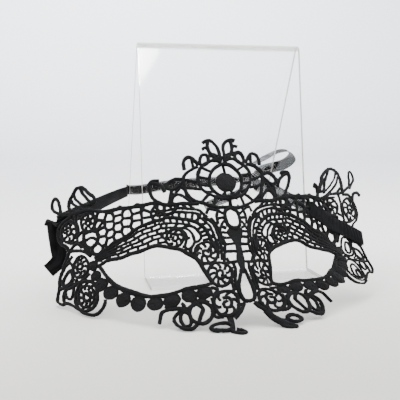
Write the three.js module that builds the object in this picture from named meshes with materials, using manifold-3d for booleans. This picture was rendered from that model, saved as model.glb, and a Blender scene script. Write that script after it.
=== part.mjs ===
// Masquerade mask of black cord lace, tied by two satin ribbons round a clear bent-sheet stand.
// Millimetres, +X right, +Y away from the viewer, +Z up, origin under the middle of the stand's ledge.

import * as THREE from 'three';
import { mergeVertices } from 'three/addons/utils/BufferGeometryUtils.js';
import { RoundedBoxGeometry } from 'three/addons/geometries/RoundedBoxGeometry.js';
import { TessellateModifier } from 'three/addons/modifiers/TessellateModifier.js';
import Module from 'manifold-3d';

const wasm = await Module();
wasm.setup();

// Mask: size of the flat lace, and how the face curve bends it
const MASK_WIDTH = 250;
const MASK_RISE = 100;
const LACE_THICKNESS = 1.2;
const CORD_WIDTH = 2.2;
const FACE_TURN = 0.009;
const FACE_EASE = 0.0022;
const FACE_BIAS = 0.176;

// Mask: how it leans in front of the stand
const MASK_LEAN_DEG = 28.3;
const MASK_YAW_DEG = 3.6;
const MASK_ROLL_DEG = -2;
const NOSE_SIDE = -20.2;
const NOSE_STANDOFF = 123.8;
const NOSE_HEIGHT = 14.4;
const FLARE_HEIGHT = 6;

// Mask: how the ribbon draws its right half in and down, as shares of the mask's half width
const PULL_IN = 0.128;
const PULL_DOWN = 0.072;
const PULL_FULL = 0.68;
const PULL_FOOT = 5;
const PULL_HEAD = 85;
const LEAF_PULL = { out: 88, up: 84, span: 14, inward: 0.128, down: 0.064 };
const FOOT_SPREAD = 0.5;
const FOOT_FULL = 0.2;

// Stand: one clear sheet, bent at the ledge and at the top
const PANEL_WIDTH = 127;
const PANEL_HEIGHT = 174;
const PANEL_LEAN_DEG = 8.74;
const LEG_SPLAY_DEG = 29.2;
const LEDGE_DEPTH = 35;
const SHEET = 2.5;
const BEND_RADIUS = 3;

// Ribbon, knot and bow
const RIBBON_WIDTH = 10;
const RIBBON_THICKNESS = 1;
const RIBBON_HEIGHT = 60;
const KNOT_WIDTH = 9;
const KNOT_DEPTH = 5;
const KNOT_LENGTH = 12;
const KNOT_SIDE = 42;
const LOOP_REACH = 42;
const TAIL_REACH = 42;
const FLAP_LENGTH = 32;
const RUN_BULGE = 2;
const WRAP_ROOM = 2;
const WRAP_DROP = 7;

const GAP = 0.3;
const SEWN_GAP = 1;
const CURVE_STEPS = 3;
const LEAF_STEPS = 2;

// Flat lace: nearer corners are one, flatter ones are left out, and longer edges split to bend
const CORNER_ROOM = 0.15;
const FLATNESS = 0.04;
const LONGEST_EDGE = 12;

// The chart has 125 squares from the nose line to the outer edge, and 100 up to the crest
const OUT_SQUARE = MASK_WIDTH / 250;
const UP_SQUARE = MASK_RISE / 100;

const rad = THREE.MathUtils.degToRad;
const vec = (x, y, z) => new THREE.Vector3(x, y, z);

// Lace chart, one half, in squares: the closed edge of the main field
const TOP_EDGE = [
  { out: 0, up: 61.4 },
  { out: 18, up: 65 },
  { out: 34, up: 65 },
  { out: 46, up: 67.3 },
  { out: 62, up: 69 },
  { out: 80, up: 71.4 },
  { out: 92, up: 75.8 },
  { out: 104, up: 77.6 },
  { out: 116, up: 81.4 },
];
const SIDE_EDGE = [
  { out: 120.6, up: 74 },
  { out: 120, up: 63.5 },
  { out: 113.4, up: 57 },
  { out: 112, up: 52.4 },
  { out: 119.6, up: 44.6 },
  { out: 124.2, up: 34.6 },
  { out: 128, up: 26.8 },
  { out: 120, up: 22 },
  { out: 110, up: 17.6 },
  { out: 103, up: 11.4 },
  { out: 96, up: 9.2 },
  { out: 88.6, up: 11 },
  { out: 83.6, up: 16.4 },
];
const LOW_EDGE = [
  { out: 76, up: 15.4 },
  { out: 63, up: 9.4 },
  { out: 48, up: 7.2 },
  { out: 33, up: 8 },
  { out: 20, up: 7.8 },
  { out: 12, up: 7 },
  { out: 4.6, up: 7 },
  { out: 3, up: 13.4 },
  { out: 0, up: 18.6 },
];
const EYE_EDGE = [
  { out: 85.4, up: 37.6 },
  { out: 70, up: 38.3 },
  { out: 50, up: 39.7 },
  { out: 35, up: 35 },
  { out: 24, up: 25 },
  { out: 20, up: 14.4 },
  { out: 30, up: 12.7 },
  { out: 45, up: 12 },
  { out: 60, up: 15.2 },
  { out: 72, up: 21.6 },
  { out: 81, up: 30 },
];

// Solid stitched discs below the eye and up its outer corner
const DISCS = [
  { out: 24.2, up: 8.2, radius: 4.2 },
  { out: 33, up: 8, radius: 4.3 },
  { out: 43.1, up: 7.2, radius: 4.5 },
  { out: 53, up: 7.3, radius: 4.4 },
  { out: 63.2, up: 9.4, radius: 4.7 },
  { out: 72.5, up: 14, radius: 4.8 },
  { out: 80.3, up: 20, radius: 4.7 },
  { out: 86.6, up: 26.4, radius: 4.4 },
  { out: 90, up: 32.8, radius: 3.6 },
  { out: 90.8, up: 39.3, radius: 3.4 },
];

// Round fields of lace: the roses under the nose and the crest's ring
const ROUND_FIELDS = [
  { out: 12.6, up: 0.5, wide: 16.4, tall: 17 },
  { out: 27.6, up: -2.6, wide: 14.4, tall: 14 },
  { out: 37, up: -4.4, wide: 9.4, tall: 11.6 },
  { out: 18.4, up: -12.8, wide: 14, tall: 6.8 },
];

// Cords that stand free of the fields, each along a short run of points
const CORDS = {
  underLipTail: [
    { out: 53, up: -5 },
    { out: 50.4, up: 1.2 },
    { out: 44, up: 2.6 },
    { out: 35, up: 0.6 },
  ],
  underLipCurl: [
    { out: 38, up: 0.4 },
    { out: 43.6, up: -3.6 },
    { out: 42, up: -8.6 },
    { out: 36, up: -11.2 },
    { out: 31, up: -8.6 },
  ],
  noseLeg: [
    { out: 12.4, up: -5 },
    { out: 12, up: -11 },
    { out: 12, up: -17 },
  ],
  noseStrap: [
    { out: -1, up: -0.1 },
    { out: 4.6, up: -2.2 },
    { out: 8.6, up: -6 },
    { out: 11.6, up: -11 },
  ],
  noseArch: [
    { out: 4.8, up: 9 },
    { out: 4.6, up: 4 },
    { out: 2.6, up: 0.8 },
    { out: -1.4, up: -0.4 },
  ],
  crestHook: [
    { out: 36, up: 65 },
    { out: 42.6, up: 67 },
    { out: 46.6, up: 73 },
    { out: 46.8, up: 78.4 },
    { out: 44.2, up: 81 },
    { out: 40.6, up: 80.6 },
  ],
  crestInnerHook: [
    { out: 46, up: 79.6 },
    { out: 42, up: 78.4 },
    { out: 38.4, up: 75 },
    { out: 37.4, up: 71.4 },
  ],
  crestStay: [
    { out: 38.4, up: 75 },
    { out: 34.6, up: 76.6 },
  ],
  crestSlope: [
    { out: 26.4, up: 77 },
    { out: 33.4, up: 72.6 },
    { out: 36.8, up: 64.6 },
  ],
  crestArch: [
    { out: 36, up: 64.6 },
    { out: 33, up: 68.4 },
    { out: 30, up: 69.2 },
    { out: 26.6, up: 67.2 },
    { out: 23.6, up: 63.4 },
  ],
  crestStem: [
    { out: 0, up: 66 },
    { out: 0, up: 56 },
  ],
};

// Leaf loops: a closed outline round each one, and the room inside it
const LEAVES = [
  { foot: [115.4, 80.4], tip: [122.4, 93.4], wide: 8.4, hole: 4.4 },
  { foot: [88.6, 76], tip: [101.6, 93.2], wide: 18.4, hole: 0 },
  { foot: [17.4, 84.2], tip: [22.8, 92.8], wide: 10.4, hole: 6.2 },
  { foot: [12.4, 84.6], tip: [10.4, 93.8], wide: 8, hole: 4 },
  { foot: [1.2, 85.6], tip: [6, 102.2], wide: 8.4, hole: 4.6 },
  { foot: [25.4, 76.6], tip: [37, 75.6], wide: 7, hole: 4 },
  { foot: [14, -15], tip: [5.4, -20.4], wide: 5.4, hole: 2.2 },
];

// Oval gaps cut right through, with their turn toward the outer edge
const OVAL_GAPS = [
  { out: 69.5, up: 63.3, wide: 5.2, tall: 3, turn: 0 },
  { out: 57.2, up: 61.2, wide: 5.6, tall: 3, turn: 10 },
  { out: 76, up: 60.7, wide: 5.8, tall: 3.6, turn: 5 },
  { out: 70, up: 58, wide: 5, tall: 5.2, turn: 0 },
  { out: 64, up: 59.4, wide: 5, tall: 3.8, turn: 0 },
  { out: 76, up: 55.5, wide: 5.4, tall: 4.2, turn: -10 },
  { out: 64.6, up: 54, wide: 5.8, tall: 4.6, turn: 0 },
  { out: 57.8, up: 56.6, wide: 6, tall: 3.8, turn: 0 },
  { out: 51.5, up: 57, wide: 4.6, tall: 3.4, turn: 0 },
  { out: 43.8, up: 58.5, wide: 7.4, tall: 2.8, turn: 0 },
  { out: 71, up: 52, wide: 6, tall: 3.8, turn: 10 },
  { out: 81.5, up: 53, wide: 4.6, tall: 3.2, turn: -20 },
  { out: 76.2, up: 50.3, wide: 5.2, tall: 3.8, turn: 0 },
  { out: 108.2, up: 67.8, wide: 5, tall: 4.6, turn: 0 },
  { out: 106.6, up: 62.2, wide: 7.6, tall: 2.6, turn: -14 },
  { out: 94.6, up: 70, wide: 4.4, tall: 3.8, turn: 0 },
  { out: 91, up: 59, wide: 7.8, tall: 3.4, turn: -5 },
  { out: 91.4, up: 53.6, wide: 7.8, tall: 4.6, turn: 20 },
  { out: 104.6, up: 47.6, wide: 5.2, tall: 2.6, turn: -25 },
  { out: 101.4, up: 38.6, wide: 6.6, tall: 4.2, turn: 0 },
  { out: 113.8, up: 36.6, wide: 7, tall: 4.6, turn: -20 },
  { out: 121.4, up: 28, wide: 4, tall: 5.6, turn: -20 },
  { out: 113.4, up: 27.4, wide: 3.8, tall: 4.8, turn: 0 },
  { out: 105.6, up: 26.3, wide: 5, tall: 2.8, turn: 20 },
  { out: 98, up: 21.5, wide: 9, tall: 3, turn: 0 },
  { out: 25.2, up: 44.2, wide: 3.6, tall: 7.4, turn: 25 },
  { out: 37.6, up: 44.6, wide: 5.4, tall: 3.6, turn: 0 },
  { out: 19.4, up: 31, wide: 6, tall: 5, turn: 30 },
  { out: 13.4, up: 17.6, wide: 6, tall: 6, turn: 0 },
  { out: 5.9, up: 34.4, wide: 3.6, tall: 6, turn: 0 },
  { out: 6, up: 26.6, wide: 4, tall: 4, turn: 0 },
  { out: 14.8, up: 2, wide: 6, tall: 3.6, turn: -20 },
  { out: 29.6, up: -1.6, wide: 3.4, tall: 6, turn: -20 },
  { out: 37, up: -4.6, wide: 3.2, tall: 6.2, turn: 0 },
  { out: 18.6, up: -12.8, wide: 8.4, tall: 2.4, turn: 0 },
  { out: 101.6, up: 83.2, wide: 2.4, tall: 9, turn: 30 },
  { out: 96.4, up: 84.6, wide: 3.8, tall: 12.4, turn: 30 },
  { out: 89.9, up: 83.6, wide: 2, tall: 8.6, turn: 30 },
];

// Where the ribbons are sewn on, and the hanging end of the left one as shares of its length
const SEAM_OUT = [110, 116, 122];
const LEFT_SEAM_UP = 75;
const RIGHT_SEAM_UP = 44;
const FLAP = [
  { side: 0, back: 0.04, drop: 0, turn: 20 },
  { side: -0.04, back: 0.1, drop: 0.35, turn: 25 },
  { side: -0.04, back: 0.1, drop: 0.7, turn: 15 },
  { side: 0.04, back: 0.04, drop: 1, turn: 10 },
];

// Crest: rings round the middle disc, cut into cells by bars at these angles
const CREST_UP = 74.4;
const CREST_DISC = 5.9;
const CREST_INNER = { radius: 9.6, rise: 9.4 };
const CREST_RING = { radius: 12, rise: 11.4 };
const CREST_OUTER = { radius: 16.4, rise: 13.2 };
const CREST_EDGE = { radius: 27, rise: 15.4 };
const CREST_BARS = [-88, -62, -36, -8, 22, 52];
const CREST_WIDE_CELLS = [
  { from: -66, to: -40 },
  { from: -34, to: -8 },
  { from: 2, to: 26 },
];
const CREST_BAR_DEG = 4;
const TEARDROP = [
  { out: 0, up: 55.4 },
  { out: 3.2, up: 53.6 },
  { out: 4.2, up: 50.4 },
  { out: 2.8, up: 46.4 },
  { out: 0, up: 43.8 },
];

// Flat drawing helpers
function chart(row, side) {
  return vec(side * row.out * OUT_SQUARE, row.up * UP_SQUARE, 0);
}

function smooth(points, closed, steps = CURVE_STEPS) {
  const curve = new THREE.CatmullRomCurve3(points, closed, 'centripetal');
  const spans = closed ? points.length : points.length - 1;
  const line = curve.getPoints(spans * steps);
  return closed ? line.slice(0, -1) : line;
}

function oval(centre, wide, tall, turnDeg, sides) {
  const turn = rad(turnDeg);
  return Array.from({ length: sides }, (_, i) => {
    const angle = (i / sides) * 2 * Math.PI;
    const p = vec((wide / 2) * Math.cos(angle), (tall / 2) * Math.sin(angle), 0);
    return p.applyAxisAngle(vec(0, 0, 1), turn).add(centre);
  });
}

function band(line, width) {
  const left = [];
  const right = [];
  line.forEach((p, i) => {
    const before = line[Math.max(i - 1, 0)];
    const after = line[Math.min(i + 1, line.length - 1)];
    const along = after.clone().sub(before).normalize();
    const across = vec(-along.y, along.x, 0).multiplyScalar(width / 2);
    left.push(p.clone().add(across));
    right.unshift(p.clone().sub(across));
  });
  return [...left, ...right];
}

function leaf(foot, tip, wide, steps) {
  const length = tip.distanceTo(foot);
  const along = tip.clone().sub(foot).normalize();
  const across = vec(-along.y, along.x, 0);
  const shares = [[0, 0.14], [0.35, 0.7], [0.7, 1], [0.92, 0.62], [1, 0]];
  const edge = shares.map(([run, half]) => foot.clone()
    .addScaledVector(along, run * length)
    .addScaledVector(across, (half * wide) / 2));
  const back = shares.slice(0, -1).reverse().map(([run, half]) => foot.clone()
    .addScaledVector(along, run * length)
    .addScaledVector(across, (-half * wide) / 2));
  return smooth([...edge, ...back], true, steps);
}

function ringCell(side, inner, outer, from, to) {
  const at = (ring, degrees) => chart({
    out: ring.radius * Math.cos(rad(degrees)),
    up: CREST_UP + ring.rise * Math.sin(rad(degrees)),
  }, side);
  const steps = Array.from({ length: CURVE_STEPS + 1 }, (_, i) => from + ((to - from) * i) / CURVE_STEPS);
  return [...steps.map((a) => at(outer, a)), ...steps.reverse().map((a) => at(inner, a))];
}

// Solids
function solidOf(geometry) {
  geometry.deleteAttribute('normal');
  geometry.deleteAttribute('uv');
  const merged = mergeVertices(geometry, 1e-4);
  return new wasm.Manifold(new wasm.Mesh({
    numProp: 3,
    vertProperties: Float32Array.from(merged.attributes.position.array),
    triVerts: Uint32Array.from(merged.index.array),
  }));
}

function geometryOf(solid) {
  const mesh = solid.getMesh();
  const geometry = new THREE.BufferGeometry();
  const corners = Float32Array.from(mesh.vertProperties);
  geometry.setAttribute('position', new THREE.BufferAttribute(corners, 3));
  geometry.setIndex(new THREE.BufferAttribute(Uint32Array.from(mesh.triVerts), 1));
  return geometry;
}

function plate(outline, thickness) {
  const shape = new THREE.Shape(outline.map((p) => new THREE.Vector2(p.x, p.y)));
  const geometry = new THREE.ExtrudeGeometry(shape, { depth: thickness, bevelEnabled: false });
  geometry.translate(0, 0, -thickness / 2);
  return solidOf(geometry);
}

const join = (solids) => solids.reduce((all, one) => all.add(one));
const cut = (body, solids) => solids.reduce((rest, one) => rest.subtract(one), body);

// Flat lace of both halves, still in its own plane
function laceFields(side) {
  const at = (row) => chart(row, side);
  const sheet = (outline) => plate(outline, LACE_THICKNESS);
  const main = smooth([...TOP_EDGE, ...SIDE_EDGE, ...LOW_EDGE].map(at), false);
  const fields = [sheet(main)];
  for (const row of ROUND_FIELDS) {
    fields.push(sheet(oval(at(row), row.wide * OUT_SQUARE, row.tall * UP_SQUARE, 0, 18)));
  }
  for (const rows of Object.values(CORDS)) {
    fields.push(sheet(band(smooth(rows.map(at), false), CORD_WIDTH)));
  }
  for (const row of LEAVES) {
    const [foot, tip] = [row.foot, row.tip].map(([out, up]) => at({ out, up }));
    fields.push(sheet(leaf(foot, tip, row.wide * OUT_SQUARE, LEAF_STEPS)));
  }
  for (const row of DISCS) {
    const width = 2 * row.radius * OUT_SQUARE;
    fields.push(sheet(oval(at(row), width, width, 0, 14)));
  }
  return fields;
}

function crestFields() {
  const centre = chart({ out: 0, up: CREST_UP }, 1);
  const [wide, tall] = [2 * CREST_EDGE.radius * OUT_SQUARE, 2 * CREST_EDGE.rise * UP_SQUARE];
  const disc = 2 * CREST_DISC * OUT_SQUARE;
  return [
    plate(oval(centre, wide, tall, 0, 40), LACE_THICKNESS),
    plate(oval(centre, disc, disc, 0, 14), LACE_THICKNESS),
  ];
}

function laceGaps(side) {
  const at = (row) => chart(row, side);
  const through = (outline) => plate(outline, 2 * LACE_THICKNESS);
  const gaps = [through(smooth(EYE_EDGE.map(at), true))];
  for (const row of OVAL_GAPS) {
    const [wide, tall] = [row.wide * OUT_SQUARE, row.tall * UP_SQUARE];
    gaps.push(through(oval(at(row), wide, tall, side * row.turn, 8)));
  }
  for (const row of LEAVES.filter((one) => one.hole > 0)) {
    const [foot, tip] = [row.foot, row.tip].map(([out, up]) => at({ out, up }));
    const [low, high] = [0.24, 0.86].map((share) => foot.clone().lerp(tip, share));
    gaps.push(through(leaf(low, high, row.hole * OUT_SQUARE, 1)));
  }
  CREST_BARS.slice(0, -1).forEach((bar, i) => {
    const [from, to] = [bar + CREST_BAR_DEG, CREST_BARS[i + 1] - CREST_BAR_DEG];
    gaps.push(through(ringCell(side, CREST_RING, CREST_OUTER, from, to)));
  });
  for (const { from, to } of CREST_WIDE_CELLS) {
    const [inner, outer] = [1, -1].map((way) => {
      const ring = way > 0 ? CREST_OUTER : CREST_EDGE;
      return { radius: ring.radius + way * CORD_WIDTH, rise: ring.rise + way * CORD_WIDTH / 2 };
    });
    gaps.push(through(ringCell(side, inner, outer, from, to)));
  }
  const half = { radius: CREST_DISC, rise: CREST_DISC };
  gaps.push(through(ringCell(side, half, CREST_INNER, -50, 84)));
  return gaps;
}

function flatLace() {
  const sides = [-1, 1];
  const body = join([...crestFields(), ...sides.flatMap(laceFields)]);
  const drop = TEARDROP.map((row) => chart(row, 1));
  const mirrored = TEARDROP.slice(1, -1).reverse().map((row) => chart(row, -1));
  const nose = plate(smooth([...drop, ...mirrored], true), 2 * LACE_THICKNESS);
  return cut(body, [nose, ...sides.flatMap(laceGaps)]);
}

// Bent lace: a cylinder-like face curve, leaned back, with the lowest part laid on the table
const toWorld = new THREE.Matrix4()
  .makeTranslation(NOSE_SIDE, LEDGE_DEPTH / 2 - NOSE_STANDOFF, NOSE_HEIGHT)
  .multiply(new THREE.Matrix4().makeRotationZ(rad(MASK_YAW_DEG)))
  .multiply(new THREE.Matrix4().makeRotationY(rad(MASK_ROLL_DEG)));
const ruling = vec(0, Math.sin(rad(MASK_LEAN_DEG)), Math.cos(rad(MASK_LEAN_DEG)))
  .transformDirection(toWorld);

function facePlan(across) {
  const side = Math.sign(across);
  const steps = Math.max(1, Math.ceil(Math.abs(across) / 2));
  const step = Math.abs(across) / steps;
  let [sideways, depth] = [0, 0];
  for (let i = 0; i < steps; i += 1) {
    const run = (i + 0.5) * step;
    const turn = (FACE_TURN * run) / (1 + FACE_EASE * run) * (1 - side * FACE_BIAS);
    sideways += side * step * Math.cos(turn);
    depth += step * Math.sin(turn);
  }
  return { sideways, depth };
}

// The right half drawn in by the ribbon, and spread a little where it lies on the table
function worn(across, up) {
  if (across <= 0) return { across, up };
  const half = MASK_WIDTH / 2;
  const share = across / half;
  const rise = THREE.MathUtils.clamp((up / UP_SQUARE - PULL_FOOT) / (PULL_HEAD - PULL_FOOT), 0, 1);
  const pull = Math.sin(Math.PI * rise) * Math.min(share / PULL_FULL, 1);
  const far = Math.hypot(across / OUT_SQUARE - LEAF_PULL.out, up / UP_SQUARE - LEAF_PULL.up);
  const tug = Math.exp(-((far / LEAF_PULL.span) ** 2));
  const spread = FOOT_SPREAD * Math.max(PULL_FOOT * UP_SQUARE - up, 0) * Math.min(share / FOOT_FULL, 1);
  return {
    across: across - half * (PULL_IN * pull + LEAF_PULL.inward * tug) + spread,
    up: up - half * (PULL_DOWN * pull + LEAF_PULL.down * tug),
  };
}

function middle(across, up) {
  const { sideways, depth } = facePlan(across);
  const lean = rad(MASK_LEAN_DEG);
  const foot = vec(sideways, depth * Math.cos(lean), -depth * Math.sin(lean)).applyMatrix4(toWorld);
  const height = foot.z + up * ruling.z;
  if (height >= FLARE_HEIGHT) return foot.addScaledVector(ruling, up);
  const steep = Math.asin(ruling.z);
  const drop = FLARE_HEIGHT - LACE_THICKNESS / 2;
  const radius = drop / (1 - Math.cos(steep));
  const bendAt = (FLARE_HEIGHT - foot.z) / ruling.z;
  const past = bendAt - up;
  const turned = Math.min(past / radius, steep);
  const forward = vec(-ruling.x, -ruling.y, 0).normalize();
  foot.addScaledVector(ruling, bendAt);
  foot.addScaledVector(forward, radius * (Math.sin(steep) - Math.sin(steep - turned)));
  foot.addScaledVector(forward, Math.max(past - radius * steep, 0));
  foot.z -= radius * (Math.cos(steep - turned) - Math.cos(steep));
  return foot;
}

function place(flatAcross, flatUp, off) {
  const { across, up } = worn(flatAcross, flatUp);
  const reach = 0.4;
  const along = middle(across + reach, up).sub(middle(across - reach, up));
  const rise = middle(across, up + reach).sub(middle(across, up - reach));
  return middle(across, up).addScaledVector(along.cross(rise).normalize(), off);
}

// The outline and the gaps of the flat lace, each a closed loop of corners
function loopsOf(solid) {
  const mesh = solid.getMesh();
  const corner = (i) => new THREE.Vector2(mesh.vertProperties[3 * i], mesh.vertProperties[3 * i + 1]);
  const edges = new Set();
  for (let i = 0; i < mesh.triVerts.length; i += 3) {
    const [a, b, c] = mesh.triVerts.slice(i, i + 3);
    if (![a, b, c].every((v) => mesh.vertProperties[3 * v + 2] > 0)) continue;
    for (const pair of [[a, b], [b, c], [c, a]]) {
      const back = `${pair[1]} ${pair[0]}`;
      if (edges.has(back)) edges.delete(back);
      else edges.add(pair.join(' '));
    }
  }
  const next = new Map([...edges].map((edge) => edge.split(' ').map(Number)));
  const loops = [];
  while (next.size > 0) {
    const loop = [];
    let [at] = next.keys();
    while (next.has(at)) {
      loop.push(corner(at));
      const to = next.get(at);
      next.delete(at);
      at = to;
    }
    loops.push(loop);
  }
  return loops;
}

function tidied(loop) {
  const kept = [];
  loop.forEach((p, i) => {
    const before = kept.at(-1) ?? loop.at(-1);
    const chord = loop[(i + 1) % loop.length].clone().sub(before);
    const height = Math.abs(chord.cross(p.clone().sub(before))) / Math.max(chord.length(), CORNER_ROOM);
    if (p.distanceTo(before) > CORNER_ROOM && height > FLATNESS) kept.push(p);
  });
  return kept;
}

// Flips the diagonal of each pair of triangles while that makes their corners less sharp
function evened(points, faces) {
  const sharp = (a, b, c) => {
    const [to, on] = [points[a].clone().sub(points[b]), points[c].clone().sub(points[b])];
    return Math.atan2(Math.abs(to.cross(on)), to.dot(on));
  };
  const turns = (a, b, c) => points[b].clone().sub(points[a]).cross(points[c].clone().sub(points[a])) > 1e-6;
  for (let round = 0; round < 12; round += 1) {
    const owner = new Map();
    const moved = new Set();
    faces.forEach((face, i) => face.forEach((a, k) => owner.set(`${a} ${face[(k + 1) % 3]}`, i)));
    for (const [edge, i] of owner) {
      const [a, b] = edge.split(' ').map(Number);
      const j = owner.get(`${b} ${a}`);
      if (j === undefined || moved.has(i) || moved.has(j)) continue;
      const c = faces[i].find((v) => v !== a && v !== b);
      const d = faces[j].find((v) => v !== a && v !== b);
      if (sharp(a, c, b) + sharp(a, d, b) <= Math.PI + 1e-6) continue;
      if (!turns(c, a, d) || !turns(d, b, c)) continue;
      faces[i] = [c, a, d];
      faces[j] = [d, b, c];
      moved.add(i).add(j);
    }
    if (moved.size === 0) break;
  }
  return faces;
}

function laceSheet() {
  const loops = loopsOf(flatLace()).map((loop) => tidied(tidied(loop))).filter((loop) => loop.length > 2);
  const [outline, ...gaps] = loops.sort((a, b) => THREE.ShapeUtils.area(b) - THREE.ShapeUtils.area(a));
  const points = [outline, ...gaps].flat();
  const faces = evened(points, THREE.ShapeUtils.triangulateShape(outline, gaps));
  const under = points.length;
  const corners = [LACE_THICKNESS / 2, -LACE_THICKNESS / 2].flatMap((z) => points.flatMap((p) => [p.x, p.y, z]));
  const index = faces.flatMap(([a, b, c]) => [a, b, c, under + a, under + c, under + b]);
  let first = 0;
  for (const loop of [outline, ...gaps]) {
    loop.forEach((_, i) => {
      const [a, b] = [first + i, first + ((i + 1) % loop.length)];
      index.push(a, under + a, under + b, a, under + b, b);
    });
    first += loop.length;
  }
  const sheet = new THREE.BufferGeometry();
  sheet.setAttribute('position', new THREE.Float32BufferAttribute(corners, 3));
  sheet.setIndex(index);
  return mergeVertices(new TessellateModifier(LONGEST_EDGE, 8).modify(sheet), 1e-4);
}

function bentLace() {
  const geometry = laceSheet();
  const corners = geometry.attributes.position;
  for (let i = 0; i < corners.count; i += 1) {
    const p = place(corners.getX(i), corners.getY(i), corners.getZ(i));
    corners.setXYZ(i, p.x, p.y, Math.max(p.z, 0));
  }
  return geometry;
}

// Stand: the sheet's side profile in (away, up), swept along its width
const lean = rad(PANEL_LEAN_DEG);
const splay = rad(LEG_SPLAY_DEG);
const halfFold = (lean + splay) / 2;
const foldTilt = (splay - lean) / 2;
const outerBend = BEND_RADIUS + SHEET;
const foldRise = PANEL_HEIGHT + outerBend * (Math.cos(foldTilt) / Math.sin(halfFold) - 1);
const foldReach = SHEET / Math.sin(halfFold);
const heel = new THREE.Vector2(LEDGE_DEPTH / 2, 0);
const panelRise = foldRise - foldReach * Math.cos(foldTilt);
const fold = new THREE.Vector2(panelRise * Math.tan(lean), panelRise).add(heel);
const ridge = new THREE.Vector2(-Math.sin(foldTilt), Math.cos(foldTilt)).multiplyScalar(foldReach).add(fold);
const legFoot = new THREE.Vector2(fold.x + fold.y * Math.tan(splay), 0);

function bentCorner(before, corner, after, radius, steps) {
  const back = before.clone().sub(corner).normalize();
  const on = after.clone().sub(corner).normalize();
  const half = Math.acos(THREE.MathUtils.clamp(back.dot(on), -1, 1)) / 2;
  const setback = radius / Math.tan(half);
  const start = corner.clone().addScaledVector(back, setback);
  const end = corner.clone().addScaledVector(on, setback);
  const centre = corner.clone().addScaledVector(back.clone().add(on).normalize(), radius / Math.sin(half));
  const [from, sweep] = [start.clone().sub(centre).angle(), Math.PI - 2 * half];
  const way = Math.sign(start.clone().sub(centre).cross(end.clone().sub(centre)));
  return Array.from({ length: steps + 1 }, (_, i) => {
    const angle = from + (way * sweep * i) / steps;
    return new THREE.Vector2(Math.cos(angle), Math.sin(angle)).multiplyScalar(radius).add(centre);
  });
}

function displayStand() {
  const front = new THREE.Vector2(-LEDGE_DEPTH / 2, 0);
  const thick = SHEET / Math.cos(splay);
  const under = [
    front,
    ...bentCorner(front, heel, fold, BEND_RADIUS, 6),
    ...bentCorner(heel, fold, legFoot, BEND_RADIUS, 8),
    legFoot,
  ];
  const inner = heel.clone().add(new THREE.Vector2(-SHEET * Math.tan((Math.PI / 2 - lean) / 2), SHEET));
  const over = [
    new THREE.Vector2(legFoot.x + thick, 0),
    ...bentCorner(new THREE.Vector2(legFoot.x + thick, 0), ridge, inner, outerBend, 8),
    ...bentCorner(ridge, inner, new THREE.Vector2(front.x, SHEET), BEND_RADIUS - SHEET, 6),
    new THREE.Vector2(front.x, SHEET),
  ];
  const geometry = new THREE.ExtrudeGeometry(new THREE.Shape([...under, ...over]), {
    depth: PANEL_WIDTH,
    bevelEnabled: false,
  });
  geometry.translate(0, 0, -PANEL_WIDTH / 2);
  geometry.applyMatrix4(new THREE.Matrix4().makeBasis(vec(0, 1, 0), vec(0, 0, 1), vec(1, 0, 0)));
  return geometry;
}

// Ribbon pieces: a flat strip along a curve, its width turned by the rows of the path
class StripCurve extends THREE.CatmullRomCurve3 {
  constructor(rows) {
    super(rows.map((row) => row.at), false, 'centripetal');
    this.widths = rows.map((row) => row.wide);
  }

  widthAt(share) {
    const spot = share * (this.widths.length - 1);
    const first = Math.min(Math.floor(spot), this.widths.length - 2);
    return this.widths[first].clone().lerp(this.widths[first + 1], spot - first);
  }

  computeFrenetFrames(segments) {
    const frames = { tangents: [], normals: [], binormals: [] };
    for (let i = 0; i <= segments; i += 1) {
      const share = this.getUtoTmapping(i / segments);
      const tangent = this.getTangent(share);
      const binormal = tangent.clone().cross(this.widthAt(share)).normalize();
      frames.tangents.push(tangent);
      frames.binormals.push(binormal);
      frames.normals.push(binormal.clone().cross(tangent));
    }
    return frames;
  }
}

function strip(rows, steps) {
  const [w, t] = [RIBBON_WIDTH / 2, RIBBON_THICKNESS / 2];
  const section = new THREE.Shape([[-w, -t], [w, -t], [w, t], [-w, t]].map(([x, y]) => new THREE.Vector2(x, y)));
  return new THREE.ExtrudeGeometry(section, { extrudePath: new StripCurve(rows), steps });
}

// Places on the back of the leg: sideways, up the slope, and off its face
const slope = vec(0, -Math.sin(splay), Math.cos(splay));
const legNormal = vec(0, Math.cos(splay), Math.sin(splay));

function onLeg(side, height, off) {
  const away = fold.x + (fold.y - height) * Math.tan(splay);
  return vec(side, away, height).addScaledVector(legNormal, SHEET + off);
}

function nearKnot(side, rise, off) {
  return onLeg(KNOT_SIDE + side, RIBBON_HEIGHT, off).addScaledVector(slope, rise);
}

const flatOff = RIBBON_THICKNESS / 2 + GAP;
const edgeSide = PANEL_WIDTH / 2;

function onLace(side, out, up, off) {
  const across = side * out * OUT_SQUARE;
  const rise = up * UP_SQUARE;
  return place(across, rise, off);
}

function laceRise(side, out, up) {
  return onLace(side, out, up + 1, 0).sub(onLace(side, out, up - 1, 0)).normalize();
}

const behind = -(LACE_THICKNESS + RIBBON_THICKNESS) / 2 - SEWN_GAP;

// The way round one upright edge of the leg, clear of its corner by a small round bend
function roundEdge(side, height) {
  const beyond = flatOff + WRAP_ROOM;
  const places = [
    { past: beyond, off: -SHEET - 2 * WRAP_ROOM },
    { past: beyond, off: -SHEET / 2 },
    { past: beyond * 0.75, off: beyond * 0.75 },
    { past: -SHEET / 2, off: beyond },
    { past: -4 * WRAP_ROOM, off: flatOff + 3 * GAP },
  ];
  const rows = places.map(({ past, off }) => ({
    at: onLeg(side * (edgeSide + past), height, off),
    wide: slope,
  }));
  return rows;
}

function freeRun(start, end) {
  return [0.2, 0.5, 0.82].map((share) => ({
    at: start.at.clone().lerp(end, share).add(vec(RUN_BULGE * Math.sin(Math.PI * share), 0, 0)),
    wide: start.wide.clone().lerp(slope, share),
  }));
}

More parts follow.
